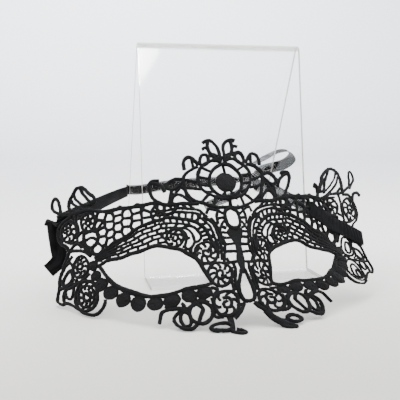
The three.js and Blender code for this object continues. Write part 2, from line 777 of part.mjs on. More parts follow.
// The stretch sewn behind the lace's outer end, from the inner end of the seam outward
function sewn(side, up) {
  return SEAM_OUT.map((out) => ({
    at: onLace(side, out, up, behind),
    wide: laceRise(side, out, up),
  }));
}

function ribbonLeft() {
  const seam = sewn(-1, LEFT_SEAM_UP);
  const rows = [
    ...seam,
    ...freeRun(seam.at(-1), onLeg(-edgeSide, RIBBON_HEIGHT - WRAP_DROP, 0)),
    ...roundEdge(-1, RIBBON_HEIGHT - WRAP_DROP),
    { at: onLeg(-edgeSide * 0.4, RIBBON_HEIGHT, flatOff + GAP), wide: slope },
    { at: nearKnot(-KNOT_WIDTH / 2 - GAP, 0, KNOT_DEPTH / 2), wide: slope },
  ];
  const flap = FLAP.map(({ side, back, drop, turn }) => ({
    at: vec(side, back, -drop).multiplyScalar(FLAP_LENGTH).add(seam.at(-1).at),
    wide: vec(Math.cos(rad(turn)), -Math.sin(rad(turn)), 0),
  }));
  return geometryOf(solidOf(strip(rows, 72)).add(solidOf(strip(flap, 8))));
}

function ribbonRight() {
  const seam = sewn(1, RIGHT_SEAM_UP);
  const rows = [
    ...seam,
    ...freeRun(seam.at(-1), onLeg(edgeSide, RIBBON_HEIGHT - WRAP_DROP, 0)),
    ...roundEdge(1, RIBBON_HEIGHT - WRAP_DROP),
    { at: nearKnot(KNOT_WIDTH / 2 + GAP + KNOT_DEPTH, -2, flatOff + GAP), wide: slope },
    { at: nearKnot(KNOT_WIDTH / 2 + GAP, -2, flatOff + GAP), wide: slope },
  ];
  return strip(rows, 60);
}

// Bow: places round the knot as shares of the reach, and the way the ribbon's width points there
function aroundKnot(rows, reach) {
  return rows.map(({ side, rise, off, across, along, away }) => ({
    at: nearKnot(side * reach, rise * reach, off * RIBBON_WIDTH),
    wide: vec(across, 0, 0).addScaledVector(slope, along).addScaledVector(legNormal, away),
  }));
}

function bowLoop() {
  const first = (KNOT_WIDTH / 2 + 3 * GAP) / LOOP_REACH;
  const rows = [
    { side: first, rise: 0.07, off: 0.4, across: 0, along: 1, away: 0 },
    { side: first + 0.07, rise: 0.08, off: 0.42, across: 0, along: 1, away: 0.1 },
    { side: 0.34, rise: 0.19, off: 0.56, across: 0, along: 0.8, away: 0.5 },
    { side: 0.62, rise: 0.24, off: 0.7, across: -0.1, along: 0.6, away: 0.8 },
    { side: 0.88, rise: 0.33, off: 0.75, across: -0.3, along: 0.5, away: 0.8 },
    { side: 1, rise: 0.49, off: 0.75, across: -0.4, along: 0.2, away: 0.9 },
    { side: 0.88, rise: 0.65, off: 0.75, across: -0.1, along: -0.3, away: 1 },
    { side: 0.66, rise: 0.63, off: 0.8, across: 0.1, along: -0.3, away: 1 },
    { side: 0.42, rise: 0.47, off: 0.9, across: 0.1, along: -0.2, away: 1 },
    { side: 0.14, rise: 0.27, off: 1, across: 0.2, along: 0, away: 1 },
  ];
  return strip(aroundKnot(rows, LOOP_REACH), 32);
}

function bowTail() {
  const first = (KNOT_LENGTH / 2 + 2 * GAP) / TAIL_REACH;
  const rows = [
    { side: 0.01, rise: -first - 0.01, off: 0.26, across: 1, along: 0, away: 0 },
    { side: 0, rise: -first - 0.07, off: 0.24, across: 1, along: -0.1, away: 0 },
    { side: -0.12, rise: -0.34, off: 0.2, across: 0.8, along: -0.4, away: 0 },
    { side: -0.36, rise: -0.46, off: 0.14, across: 0.5, along: -0.8, away: 0 },
    { side: -0.6, rise: -0.56, off: 0.14, across: 0.5, along: -0.8, away: 0 },
    { side: -0.84, rise: -0.68, off: 0.2, across: 0.5, along: -0.8, away: 0.2 },
  ];
  return strip(aroundKnot(rows, TAIL_REACH), 16);
}

function bowKnot() {
  const geometry = new RoundedBoxGeometry(KNOT_WIDTH, KNOT_LENGTH, KNOT_DEPTH, 1, KNOT_DEPTH * 0.3);
  const basis = new THREE.Matrix4().makeBasis(vec(1, 0, 0), slope, vec(1, 0, 0).cross(slope));
  basis.setPosition(nearKnot(0, 0, KNOT_DEPTH / 2 + GAP));
  return geometry.applyMatrix4(basis);
}

// Scene
function finish(color, roughness, more = {}) {
  return new THREE.MeshStandardMaterial({ color, roughness, metalness: 0, ...more });
}

function part(name, geometry, material) {
  const mesh = new THREE.Mesh(geometry, material);
  mesh.name = name;
  return mesh;
}

const mask = new THREE.Group();
mask.add(part('lace_mask', bentLace(), finish(0x16161a, 0.85)));
mask.add(part('ribbon_left', ribbonLeft(), finish(0x0d0d10, 0.4)));
mask.add(part('ribbon_right', ribbonRight(), finish(0x0d0d10, 0.4)));
mask.add(part('bow_knot', bowKnot(), finish(0x0d0d10, 0.4)));
mask.add(part('bow_loop', bowLoop(), finish(0x0d0d10, 0.4)));
mask.add(part('bow_tail', bowTail(), finish(0x0d0d10, 0.4)));

const stand = new THREE.Group();
stand.add(part('display_stand', displayStand(), finish(0xe9eeee, 0.12, { transparent: true, opacity: 0.3 })));

const group = new THREE.Group();
group.add(mask, stand);
export default group;
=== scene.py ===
"""Black cord-lace eye mask tied round a clear bent-sheet easel stand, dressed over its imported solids."""

import logging
import math
from dataclasses import dataclass, field
from enum import Enum
from typing import Callable, Optional, Sequence, Union

import bpy
import numpy as np
from mathutils import Matrix, Quaternion, Vector


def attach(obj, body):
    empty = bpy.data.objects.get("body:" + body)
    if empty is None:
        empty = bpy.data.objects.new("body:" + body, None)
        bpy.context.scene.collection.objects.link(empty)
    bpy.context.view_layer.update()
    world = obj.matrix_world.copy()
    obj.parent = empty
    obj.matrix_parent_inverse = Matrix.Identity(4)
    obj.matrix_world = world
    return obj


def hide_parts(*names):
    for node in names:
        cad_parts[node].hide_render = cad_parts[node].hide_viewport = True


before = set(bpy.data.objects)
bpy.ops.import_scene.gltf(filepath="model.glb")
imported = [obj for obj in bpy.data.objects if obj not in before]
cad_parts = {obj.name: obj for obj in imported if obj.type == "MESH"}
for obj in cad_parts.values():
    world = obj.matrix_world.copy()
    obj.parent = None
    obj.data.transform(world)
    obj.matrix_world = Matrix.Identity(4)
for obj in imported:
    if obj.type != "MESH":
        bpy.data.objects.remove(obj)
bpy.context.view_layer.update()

LOG = logging.getLogger("lace_mask")
MM = 0.001
Row = tuple[float, float]
Rows = Sequence[Row]
Edge = tuple[str, float, float, float]
Shades = Callable[[bpy.types.NodeTree, bpy.types.Node], bpy.types.Node]


def linear(code: str) -> tuple[float, float, float, float]:
    """Turns an sRGB hex colour to linear light.

    Args:
        code: Six hex digits, such as "1a1a1e".

    Returns:
        Red, green, blue and a full alpha.
    """
    shares = [int(code[i : i + 2], 16) / 255 for i in (0, 2, 4)]
    light = [s / 12.92 if s <= 0.04045 else ((s + 0.055) / 1.055) ** 2.4 for s in shares]
    return (light[0], light[1], light[2], 1.0)


def per_metre(size_mm: float) -> float:
    """Gives a pattern's scale, in repeats a metre, from the size of one repeat in millimetres."""
    return 1 / (size_mm * MM)


def add_node(
    tree: bpy.types.NodeTree,
    kind: str,
    inputs: Optional[dict[Union[str, int], object]] = None,
    **settings: object,
) -> bpy.types.Node:
    """Adds one node to a tree, with its settings, socket values and incoming links.

    Args:
        tree: The node tree.
        kind: The node's type name.
        inputs: What goes into each named or numbered socket: a value, or another node's output.
        settings: The node's own properties.

    Returns:
        The new node.
    """
    made = tree.nodes.new(kind)
    for name, value in settings.items():
        setattr(made, name, value)
    for name, value in (inputs or {}).items():
        socket = made.inputs[name]
        if isinstance(value, bpy.types.NodeSocket):
            tree.links.new(value, socket)
        else:
            socket.default_value = value
    return made


def ramp(node: bpy.types.Node, stops: Sequence[tuple[float, str]]) -> None:
    """Gives a colour ramp its stops, lowest first: each a place and an sRGB hex colour."""
    elements = node.color_ramp.elements
    while len(elements) < len(stops):
        elements.new(1.0)
    for element, (place, code) in zip(elements, stops):
        element.position = place
        element.color = linear(code)


def node_material(name: str, shades: Shades) -> bpy.types.Material:
    """Makes a material from its nodes.

    Args:
        name: The material's name.
        shades: Adds the nodes to a tree, from its texture coordinates, and gives the shader.

    Returns:
        The material.
    """
    material = bpy.data.materials.new(name)
    material.use_nodes = True
    tree = material.node_tree
    tree.nodes.clear()
    shader = shades(tree, add_node(tree, "ShaderNodeTexCoord"))
    add_node(tree, "ShaderNodeOutputMaterial", {"Surface": shader.outputs["BSDF"]})
    return material


class Grain(Enum):
    """The way that the yarn of a textile piece lies."""

    WOUND = "wound"
    STITCHED = "stitched"
    SATIN = "satin"


@dataclass(frozen=True)
class Textile:
    """A dyed yarn finish: its colour, its nap, and the spacing of its yarn in millimetres.

    The dye is worn in patches. A wound or stitched yarn shows as cells with a finer fuzz on them, and
    satin as weft lines with wide, soft pulls in the cloth.
    """

    name: str
    colour: str
    worn_colour: str
    roughness: float
    sheen: float
    specular: float
    yarn_mm: float
    relief_mm: float
    grain: Grain
    patch_mm: float = 11.1
    patch_stops: Row = (0.35, 0.75)
    pull_mm: float = 16.7
    pull_share: float = 0.5
    weft_waver: float = 0.6
    finer: float = 2.2
    fuzz_share: float = 0.35
    relief_share: float = 0.9
    nap_roughness: float = 0.4
    satin_stretch: float = 0.4

    def make(self) -> bpy.types.Material:
        """Builds the material, on object coordinates and on the ribbon's own UV map."""
        return node_material(self.name, self._shades)

    def _shades(self, tree: bpy.types.NodeTree, place: bpy.types.Node) -> bpy.types.Node:
        """Adds the nodes of the dye and the yarn.

        Args:
            tree: The material's node tree.
            place: Its texture coordinate node.

        Returns:
            The shader.
        """
        satin = self.grain is Grain.SATIN
        at = place.outputs["Object"]
        patches = {"Vector": at, "Scale": per_metre(self.patch_mm), "Detail": 4.0, "Roughness": 0.6}
        fade = add_node(tree, "ShaderNodeTexNoise", patches)
        tone = add_node(tree, "ShaderNodeValToRGB", {"Fac": fade.outputs["Fac"]})
        ramp(tone, list(zip(self.patch_stops, (self.colour, self.worn_colour))))
        height = self._satin_height(tree, place) if satin else self._yarn_height(tree, at)
        relief = {"Strength": self.relief_share, "Distance": self.relief_mm * MM, "Height": height}
        bump = add_node(tree, "ShaderNodeBump", relief)
        return add_node(
            tree,
            "ShaderNodeBsdfPrincipled",
            {
                "Base Color": tone.outputs["Color"],
                "Roughness": self.roughness,
                "Specular IOR Level": self.specular,
                "Sheen Weight": self.sheen,
                "Sheen Roughness": self.nap_roughness,
                "Anisotropic": self.satin_stretch if satin else 0.0,
                "Normal": bump.outputs["Normal"],
            },
        )

    def _satin_height(self, tree: bpy.types.NodeTree, place: bpy.types.Node) -> bpy.types.NodeSocket:
        """Adds the height of satin: weft across the ribbon, and the pulls in it."""
        # At scale 1 the wave texture runs through 20 radians a unit.
        lines = math.tau / 20 * per_metre(self.yarn_mm)
        weft = {"Vector": place.outputs["UV"], "Scale": lines, "Distortion": self.weft_waver, "Detail": 1.0}
        weft = add_node(tree, "ShaderNodeTexWave", weft, bands_direction="X").outputs["Fac"]
        pulls = {"Vector": place.outputs["Object"], "Scale": per_metre(self.pull_mm), "Detail": 1.0}
        pulls = add_node(tree, "ShaderNodeTexNoise", pulls).outputs["Fac"]
        return add_node(
            tree, "ShaderNodeMix", {0: self.pull_share, 2: weft, 3: pulls}, data_type="FLOAT"
        ).outputs[0]

    def _yarn_height(self, tree: bpy.types.NodeTree, at: bpy.types.NodeSocket) -> bpy.types.NodeSocket:
        """Adds the height of wound or stitched yarn: its turns, and the fuzz on them."""
        turns = add_node(
            tree,
            "ShaderNodeTexVoronoi",
            {"Vector": at, "Scale": per_metre(self.yarn_mm), "Randomness": 1.0},
            feature="SMOOTH_F1" if self.grain is Grain.WOUND else "F1",
        ).outputs["Distance"]
        fuzz = {"Vector": at, "Scale": per_metre(self.yarn_mm) * self.finer, "Detail": 2.0}
        fuzz = add_node(tree, "ShaderNodeTexNoise", fuzz).outputs["Fac"]
        return add_node(
            tree, "ShaderNodeMix", {0: self.fuzz_share, 2: turns, 3: fuzz}, data_type="FLOAT"
        ).outputs[0]


@dataclass(frozen=True)
class ClearSheet:
    """Clear cast acrylic sheet, flame polished and bent on a hot wire, with saw-cut and buffed edges.

    A row of the painted edge shade or of the painted highlight has an axis, where the place starts and
    where it is full along that axis, in millimetres, and its share. The X axis counts outward to both
    sides. The side edges are painted greyer, partly as their own frosting and partly as painted shade; the
    top bend is painted greyer as painted shade; the ledge's front edge and its top are painted white as a
    painted highlight. Where either lies, the sheet is made less clear and more opaque.
    """

    name: str = "clear_cast_acrylic"
    colour: str = "f4f6f6"
    # Edge grey: painted on the side edges, partly their own frosting and partly painted shade, and on the top
    # bend, where it is painted shade. Lip white: a painted highlight on the ledge.
    edge_and_shade_colour: str = "8a897e"
    painted_highlight_colour: str = "ffffff"
    face_alpha: float = 0.07
    edge_alpha: float = 0.9
    face_clear: float = 0.98
    edge_clear: float = 0.15
    ior: float = 1.49
    specular: float = 0.5
    roughness: float = 0.02
    smeared: float = 0.08
    smear_mm: float = 45.5
    scratch_mm: float = 2.5
    scratch_relief: float = 0.05
    scratch_depth_mm: float = 0.05
    # The first rows mark the side edges and the top bend for painted shade (the edges partly frosting); the
    # second rows mark the ledge's front edge and its top for a painted highlight.
    sawn_edge_and_shade: tuple[Edge, ...] = (("X", 63.0, 63.4, 1.0), ("Z", 169.5, 171.5, 0.8))
    painted_highlight: tuple[Edge, ...] = (("Y", -17.0, -17.4, 1.0), ("Z", 3.2, 2.0, 0.35))

    def make(self) -> bpy.types.Material:
        """Builds the material, on object coordinates."""
        return node_material(self.name, self._shades)

    def _shades(self, tree: bpy.types.NodeTree, place: bpy.types.Node) -> bpy.types.Node:
        """Adds clear faces with a faint haze, side edges and a top bend painted greyer as painted shade (the
        edges partly their own frosting), and a painted white highlight on the ledge's front edge and top.

        Args:
            tree: The material's node tree.
            place: Its texture coordinate node.

        Returns:
            The shader.
        """
        at = place.outputs["Object"]
        split = add_node(tree, "ShaderNodeSeparateXYZ", {"Vector": at})
        axes = dict(split.outputs.items())
        axes["X"] = add_node(tree, "ShaderNodeMath", {0: axes["X"]}, operation="ABSOLUTE").outputs[0]
        places = [
            add_node(
                tree,
                "ShaderNodeMapRange",
                {"Value": axes[axis], "From Min": start * MM, "From Max": end * MM, "To Max": share},
            ).outputs["Result"]
            for axis, start, end, share in self.sawn_edge_and_shade + self.painted_highlight
        ]
        # Masks of the painted shade on the side edges and top bend (the edges partly frosting), and of the
        # painted highlight on the ledge's front edge and top.
        sawn_edge_and_shade, painted_highlight = (
            add_node(tree, "ShaderNodeMath", {0: pair[0], 1: pair[1]}, operation="MAXIMUM").outputs[0]
            for pair in (places[:2], places[2:])
        )
        # Where either painted mark lies, the sheet is made less clear and more opaque, so the painted colour
        # shows.
        edge = add_node(tree, "ShaderNodeMath", {0: sawn_edge_and_shade, 1: painted_highlight}, operation="MAXIMUM").outputs[0]
        # The face colour is mixed to the white of the painted highlight, then to the grey of the painted edge
        # shade.
        tint: Union[tuple, bpy.types.NodeSocket] = linear(self.colour)
        for mask, code in ((painted_highlight, self.painted_highlight_colour), (sawn_edge_and_shade, self.edge_and_shade_colour)):
            sockets = {0: mask, 6: tint, 7: linear(code)}
            tint = add_node(tree, "ShaderNodeMix", sockets, data_type="RGBA").outputs[2]
        smears = {"Vector": at, "Scale": per_metre(self.smear_mm), "Detail": 5.0, "Roughness": 0.65}
        smear = add_node(tree, "ShaderNodeTexNoise", smears).outputs["Fac"]
        rough, clear, solid = (
            add_node(
                tree, "ShaderNodeMapRange", {"Value": by, "To Min": low, "To Max": high}
            ).outputs["Result"]
            for by, low, high in (
                (smear, self.roughness, self.smeared),
                (edge, self.face_clear, self.edge_clear),
                (edge, self.face_alpha, self.edge_alpha),
            )
        )
        scratches = {"Vector": at, "Scale": per_metre(self.scratch_mm), "Detail": 2.0}
        scratch = add_node(tree, "ShaderNodeTexNoise", scratches).outputs["Fac"]
        depth = self.scratch_depth_mm * MM
        relief = {"Strength": self.scratch_relief, "Distance": depth, "Height": scratch}
        bump = add_node(tree, "ShaderNodeBump", relief)
        return add_node(
            tree,
            "ShaderNodeBsdfPrincipled",
            {
                "Base Color": tint,
                "Roughness": rough,
                "IOR": self.ior,
                "Transmission Weight": clear,
                "Specular IOR Level": self.specular,
                "Alpha": solid,
                "Normal": bump.outputs["Normal"],
            },
        )


# Guipure cord: rayon thread wound and stitched over itself. It gives the eye a matt near-black with a
# faint grey nap. Real thread is about 0.2 mm, too fine to show here, so its turns are drawn at 0.9 mm.
WOUND_CORD = Textile("black_wound_rayon_cord", "030304", "0b0b0d", 0.85, 0.03, 0.1, 0.9, 0.4, Grain.WOUND)
# Satin stitch: the same thread laid close over a padded disc. It is a little smoother, so it catches more
# light. Its stitches are drawn at 1.1 mm, coarser than real ones, so that they show.
STITCHED_DISC = Textile("black_satin_stitch", "030304", "0c0c0e", 0.78, 0.03, 0.1, 1.1, 0.5, Grain.STITCHED)
# Polyester satin ribbon: long floats with a soft gleam along its length. The real weft is about 0.1 mm,
# too fine to show here, so it is drawn at 0.45 mm.
RIBBON_SATIN = Textile("black_polyester_satin", "070708", "101012", 0.6, 0.0, 0.03, 0.45, 0.05, Grain.SATIN)
# Clear acrylic: nearly water clear, with a faint haze of handling. Its saw-cut side edges are painted
# greyer, partly their own frosting and partly painted shade, its top bend is painted greyer as painted
# shade, and its lip and ledge have a painted white highlight.
CLEAR_SHEET = ClearSheet()


@dataclass(frozen=True)
class LaceForm:
    """The bent and leaned face curve that the flat lace is laid on. Millimetres and degrees.

    The ribbon pulls the right half in and down, most of all by one leaf, and its foot is spread. A nudge
    moves the points of that half near a place: its out and up, its two spans, and the move out and up.
    """

    half_width: float = 125.0
    longest: float = 160.0
    run_step: float = 0.25
    turn: float = 0.009
    ease: float = 0.0022
    bias: float = 0.176
    lean_deg: float = 28.3
    yaw_deg: float = 3.6
    roll_deg: float = -2.0
    nose: tuple[float, float, float] = (-20.2, -106.3, 14.4)
    flare_height: float = 6.0
    flare_rest: float = 0.6
    pull_in: float = 0.128
    pull_down: float = 0.072
    pull_full: float = 0.68
    pull_foot: float = 5.0
    pull_head: float = 85.0
    leaf_at: Row = (88.0, 84.0)
    leaf_span: float = 14.0
    leaf_in: float = 0.128
    leaf_down: float = 0.064
    foot_spread: float = 0.5
    foot_full: float = 0.2
    slope_reach: float = 0.4
    table_gap: float = 0.05
    nudges: tuple[tuple[float, ...], ...] = (
        (24.0, 24.0, 9.0, 15.0, -3.2, 0.0),
        (112.0, 64.0, 12.0, 10.0, 5.0, 0.0),
        (28.0, 31.0, 7.0, 7.0, -1.8, 0.6),
        (22.0, 12.0, 13.0, 9.0, -0.5, -4.0),
        (86.0, 40.0, 9.0, 9.0, 0.0, -3.2),
        (86.0, 82.0, 6.0, 6.0, 4.4, 0.0),
        (105.0, 84.0, 6.0, 7.0, -2.0, 0.0),
        (119.0, 86.0, 7.0, 8.0, -2.0, 0.0),
        (66.0, 40.0, 15.0, 9.0, 0.0, -3.0),
    )

    def _worn(self, across: np.ndarray, up: np.ndarray) -> tuple[np.ndarray, np.ndarray]:
        """Draws the right half in and down, where the ribbon pulls it, and spreads its foot."""
        right = across > 0
        for out_at, up_at, out_span, up_span, out_shift, up_shift in self.nudges:
            near = np.exp(-(((across - out_at) / out_span) ** 2) - ((up - up_at) / up_span) ** 2) * right
            across, up = across + out_shift * near, up + up_shift * near
        share = np.where(right, across, 0) / self.half_width
        rise = np.clip((up - self.pull_foot) / (self.pull_head - self.pull_foot), 0, 1)
        pull = np.sin(np.pi * rise) * np.minimum(share / self.pull_full, 1)
        far = np.hypot(across - self.leaf_at[0], up - self.leaf_at[1])
        tug = np.exp(-((far / self.leaf_span) ** 2)) * right
        low = np.maximum(self.pull_foot - up, 0)
        spread = self.foot_spread * low * np.minimum(share / self.foot_full, 1)
        inward = self.half_width * (self.pull_in * pull + self.leaf_in * tug)
        down = self.half_width * (self.pull_down * pull + self.leaf_down * tug)
        return across - inward + spread, up - down

    def _plan(self, across: np.ndarray) -> tuple[np.ndarray, np.ndarray]:
        """Gives the sideways reach and the depth of the face curve at each place across."""
        runs = np.linspace(0, self.longest, round(self.longest / self.run_step) + 1)
        step = runs[1] - runs[0]
        sideways, depth = np.zeros_like(across), np.zeros_like(across)
        for side in (-1, 1):
            turn = self.turn * runs / (1 + self.ease * runs) * (1 - side * self.bias)
            x = np.concatenate([[0], np.cumsum(step * np.cos((turn[1:] + turn[:-1]) / 2))])
            d = np.concatenate([[0], np.cumsum(step * np.sin((turn[1:] + turn[:-1]) / 2))])
            mine = np.sign(across) == side
            sideways[mine] = side * np.interp(np.abs(across[mine]), runs, x)
            depth[mine] = np.interp(np.abs(across[mine]), runs, d)
        return sideways, depth

    def _middle(self, across: np.ndarray, up: np.ndarray) -> np.ndarray:
        """Places points of the cloth's middle, with the lowest part bent forward onto the table."""
        lean = math.radians(self.lean_deg)
        yaw = Matrix.Rotation(math.radians(self.yaw_deg), 3, "Z")
        to_object = np.array(yaw @ Matrix.Rotation(math.radians(self.roll_deg), 3, "Y"))
        ruling = to_object @ np.array([0, math.sin(lean), math.cos(lean)])
        sideways, depth = self._plan(across)
        foot = np.stack([sideways, depth * math.cos(lean), -depth * math.sin(lean)], axis=1)
        foot = foot @ to_object.T + np.array(self.nose)
        steep = math.asin(ruling[2])
        radius = (self.flare_height - self.flare_rest) / (1 - math.cos(steep))
        bend_at = (self.flare_height - foot[:, 2]) / ruling[2]
        past = np.maximum(bend_at - up, 0)
        turned = np.minimum(past / radius, steep)
        forward = np.array([-ruling[0], -ruling[1], 0]) / math.hypot(ruling[0], ruling[1])
        reach = radius * (math.sin(steep) - np.sin(steep - turned)) + np.maximum(past - radius * steep, 0)
        placed = foot + np.maximum(up, bend_at)[:, None] * ruling + reach[:, None] * forward
        placed[:, 2] -= radius * (np.cos(steep - turned) - math.cos(steep))
        return placed

    def lay(self, flat: np.ndarray) -> np.ndarray:
        """Lays flat points on the form.

        Args:
            flat: Rows of across, up and off, in metres. Off is toward the viewer.

        Returns:
            The same points in the object's frame, in metres.
        """
        across, up = self._worn(flat[:, 0] / MM, flat[:, 1] / MM)
        reach = self.slope_reach
        along = self._middle(across + reach, up) - self._middle(across - reach, up)
        rise = self._middle(across, up + reach) - self._middle(across, up - reach)
        normal = np.cross(along, rise)
        normal /= np.linalg.norm(normal, axis=1)[:, None]
        placed = self._middle(across, up) + normal * (flat[:, 2] / MM)[:, None]
        placed[:, 2] = np.maximum(placed[:, 2], self.table_gap)
        return placed * MM

    def at(self, across: float, up: float, off: float) -> Vector:
        """Lays one point, in millimetres, and gives it in millimetres."""
        return Vector(self.lay(np.array([[across, up, off]]) * MM)[0] / MM)


FORM = LaceForm()


def smooth_line(points: Rows, closed: bool, step: float, least: float = 1e-6) -> list[Row]:
    """Runs a centripetal curve through points.

    Args:
        points: The points, in millimetres.
        closed: Whether the curve returns to its start.
        step: The spacing of the points that it gives.
        least: The least knot spacing, for points that meet.

    Returns:
        Points along the curve.
    """
    p = [np.array(q, float) for q in points]
    n = len(p)
    line: list[Row] = []
    for i in range(n if closed else n - 1):
        if closed:
            a, b, c, d = (p[(i + k) % n] for k in (-1, 0, 1, 2))
        else:
            a = p[i - 1] if i > 0 else 2 * p[0] - p[1]
            b, c = p[i], p[i + 1]
            d = p[i + 2] if i + 2 < n else 2 * p[-1] - p[-2]
        knots = [0.0]
        for here, there in ((a, b), (b, c), (c, d)):
            knots.append(knots[-1] + max(least, float(np.linalg.norm(there - here)) ** 0.5))
        t0, t1, t2, t3 = knots
        count = max(1, round(float(np.linalg.norm(c - b)) / step))
        for k in range(count):
            t = t1 + (t2 - t1) * k / count
            a1 = a * (t1 - t) / (t1 - t0) + b * (t - t0) / (t1 - t0)
            a2 = b * (t2 - t) / (t2 - t1) + c * (t - t1) / (t2 - t1)
            a3 = c * (t3 - t) / (t3 - t2) + d * (t - t2) / (t3 - t2)
            b1 = a1 * (t2 - t) / (t2 - t0) + a2 * (t - t0) / (t2 - t0)
            b2 = a2 * (t3 - t) / (t3 - t1) + a3 * (t - t1) / (t3 - t1)
            line.append(tuple(b1 * (t2 - t) / (t2 - t1) + b2 * (t - t1) / (t2 - t1)))
    if not closed:
        line.append(tuple(p[-1]))
    return line


def round_arc(
    centre: Row,
    radius: float,
    start: float,
    end: float,
    rise: Optional[float] = None,
    spacing: float = 0.9,
    fewest: int = 8,
) -> list[Row]:
    """Gives points round an arc, from one angle in degrees to another, outward being 0 and up 90."""
    tall = radius if rise is None else rise
    count = max(fewest, int(abs(end - start) / 360 * 2 * math.pi * max(radius, tall) / spacing))
    angles = [math.radians(start + (end - start) * i / count) for i in range(count + 1)]
    return [(centre[0] + radius * math.cos(a), centre[1] + tall * math.sin(a)) for a in angles]


def along_line(line: Rows, share: float) -> Row:
    """Finds the point at a share of a line's length."""
    spans = [math.dist(a, b) for a, b in zip(line, line[1:])]
    left = min(max(share, 0), 1) * sum(spans)
    for (a, b), span in zip(zip(line, line[1:]), spans):
        if left <= span and span > 0:
            return (a[0] + (b[0] - a[0]) * left / span, a[1] + (b[1] - a[1]) * left / span)
        left -= span
    return line[-1]


@dataclass
class Strand:
    """One cord of the chart: its line in millimetres, its width, its lift off the middle, and its half."""

    line: list[Row]
    width: float
    closed: bool = False
    lift: float = 0.0
    side: int = 0


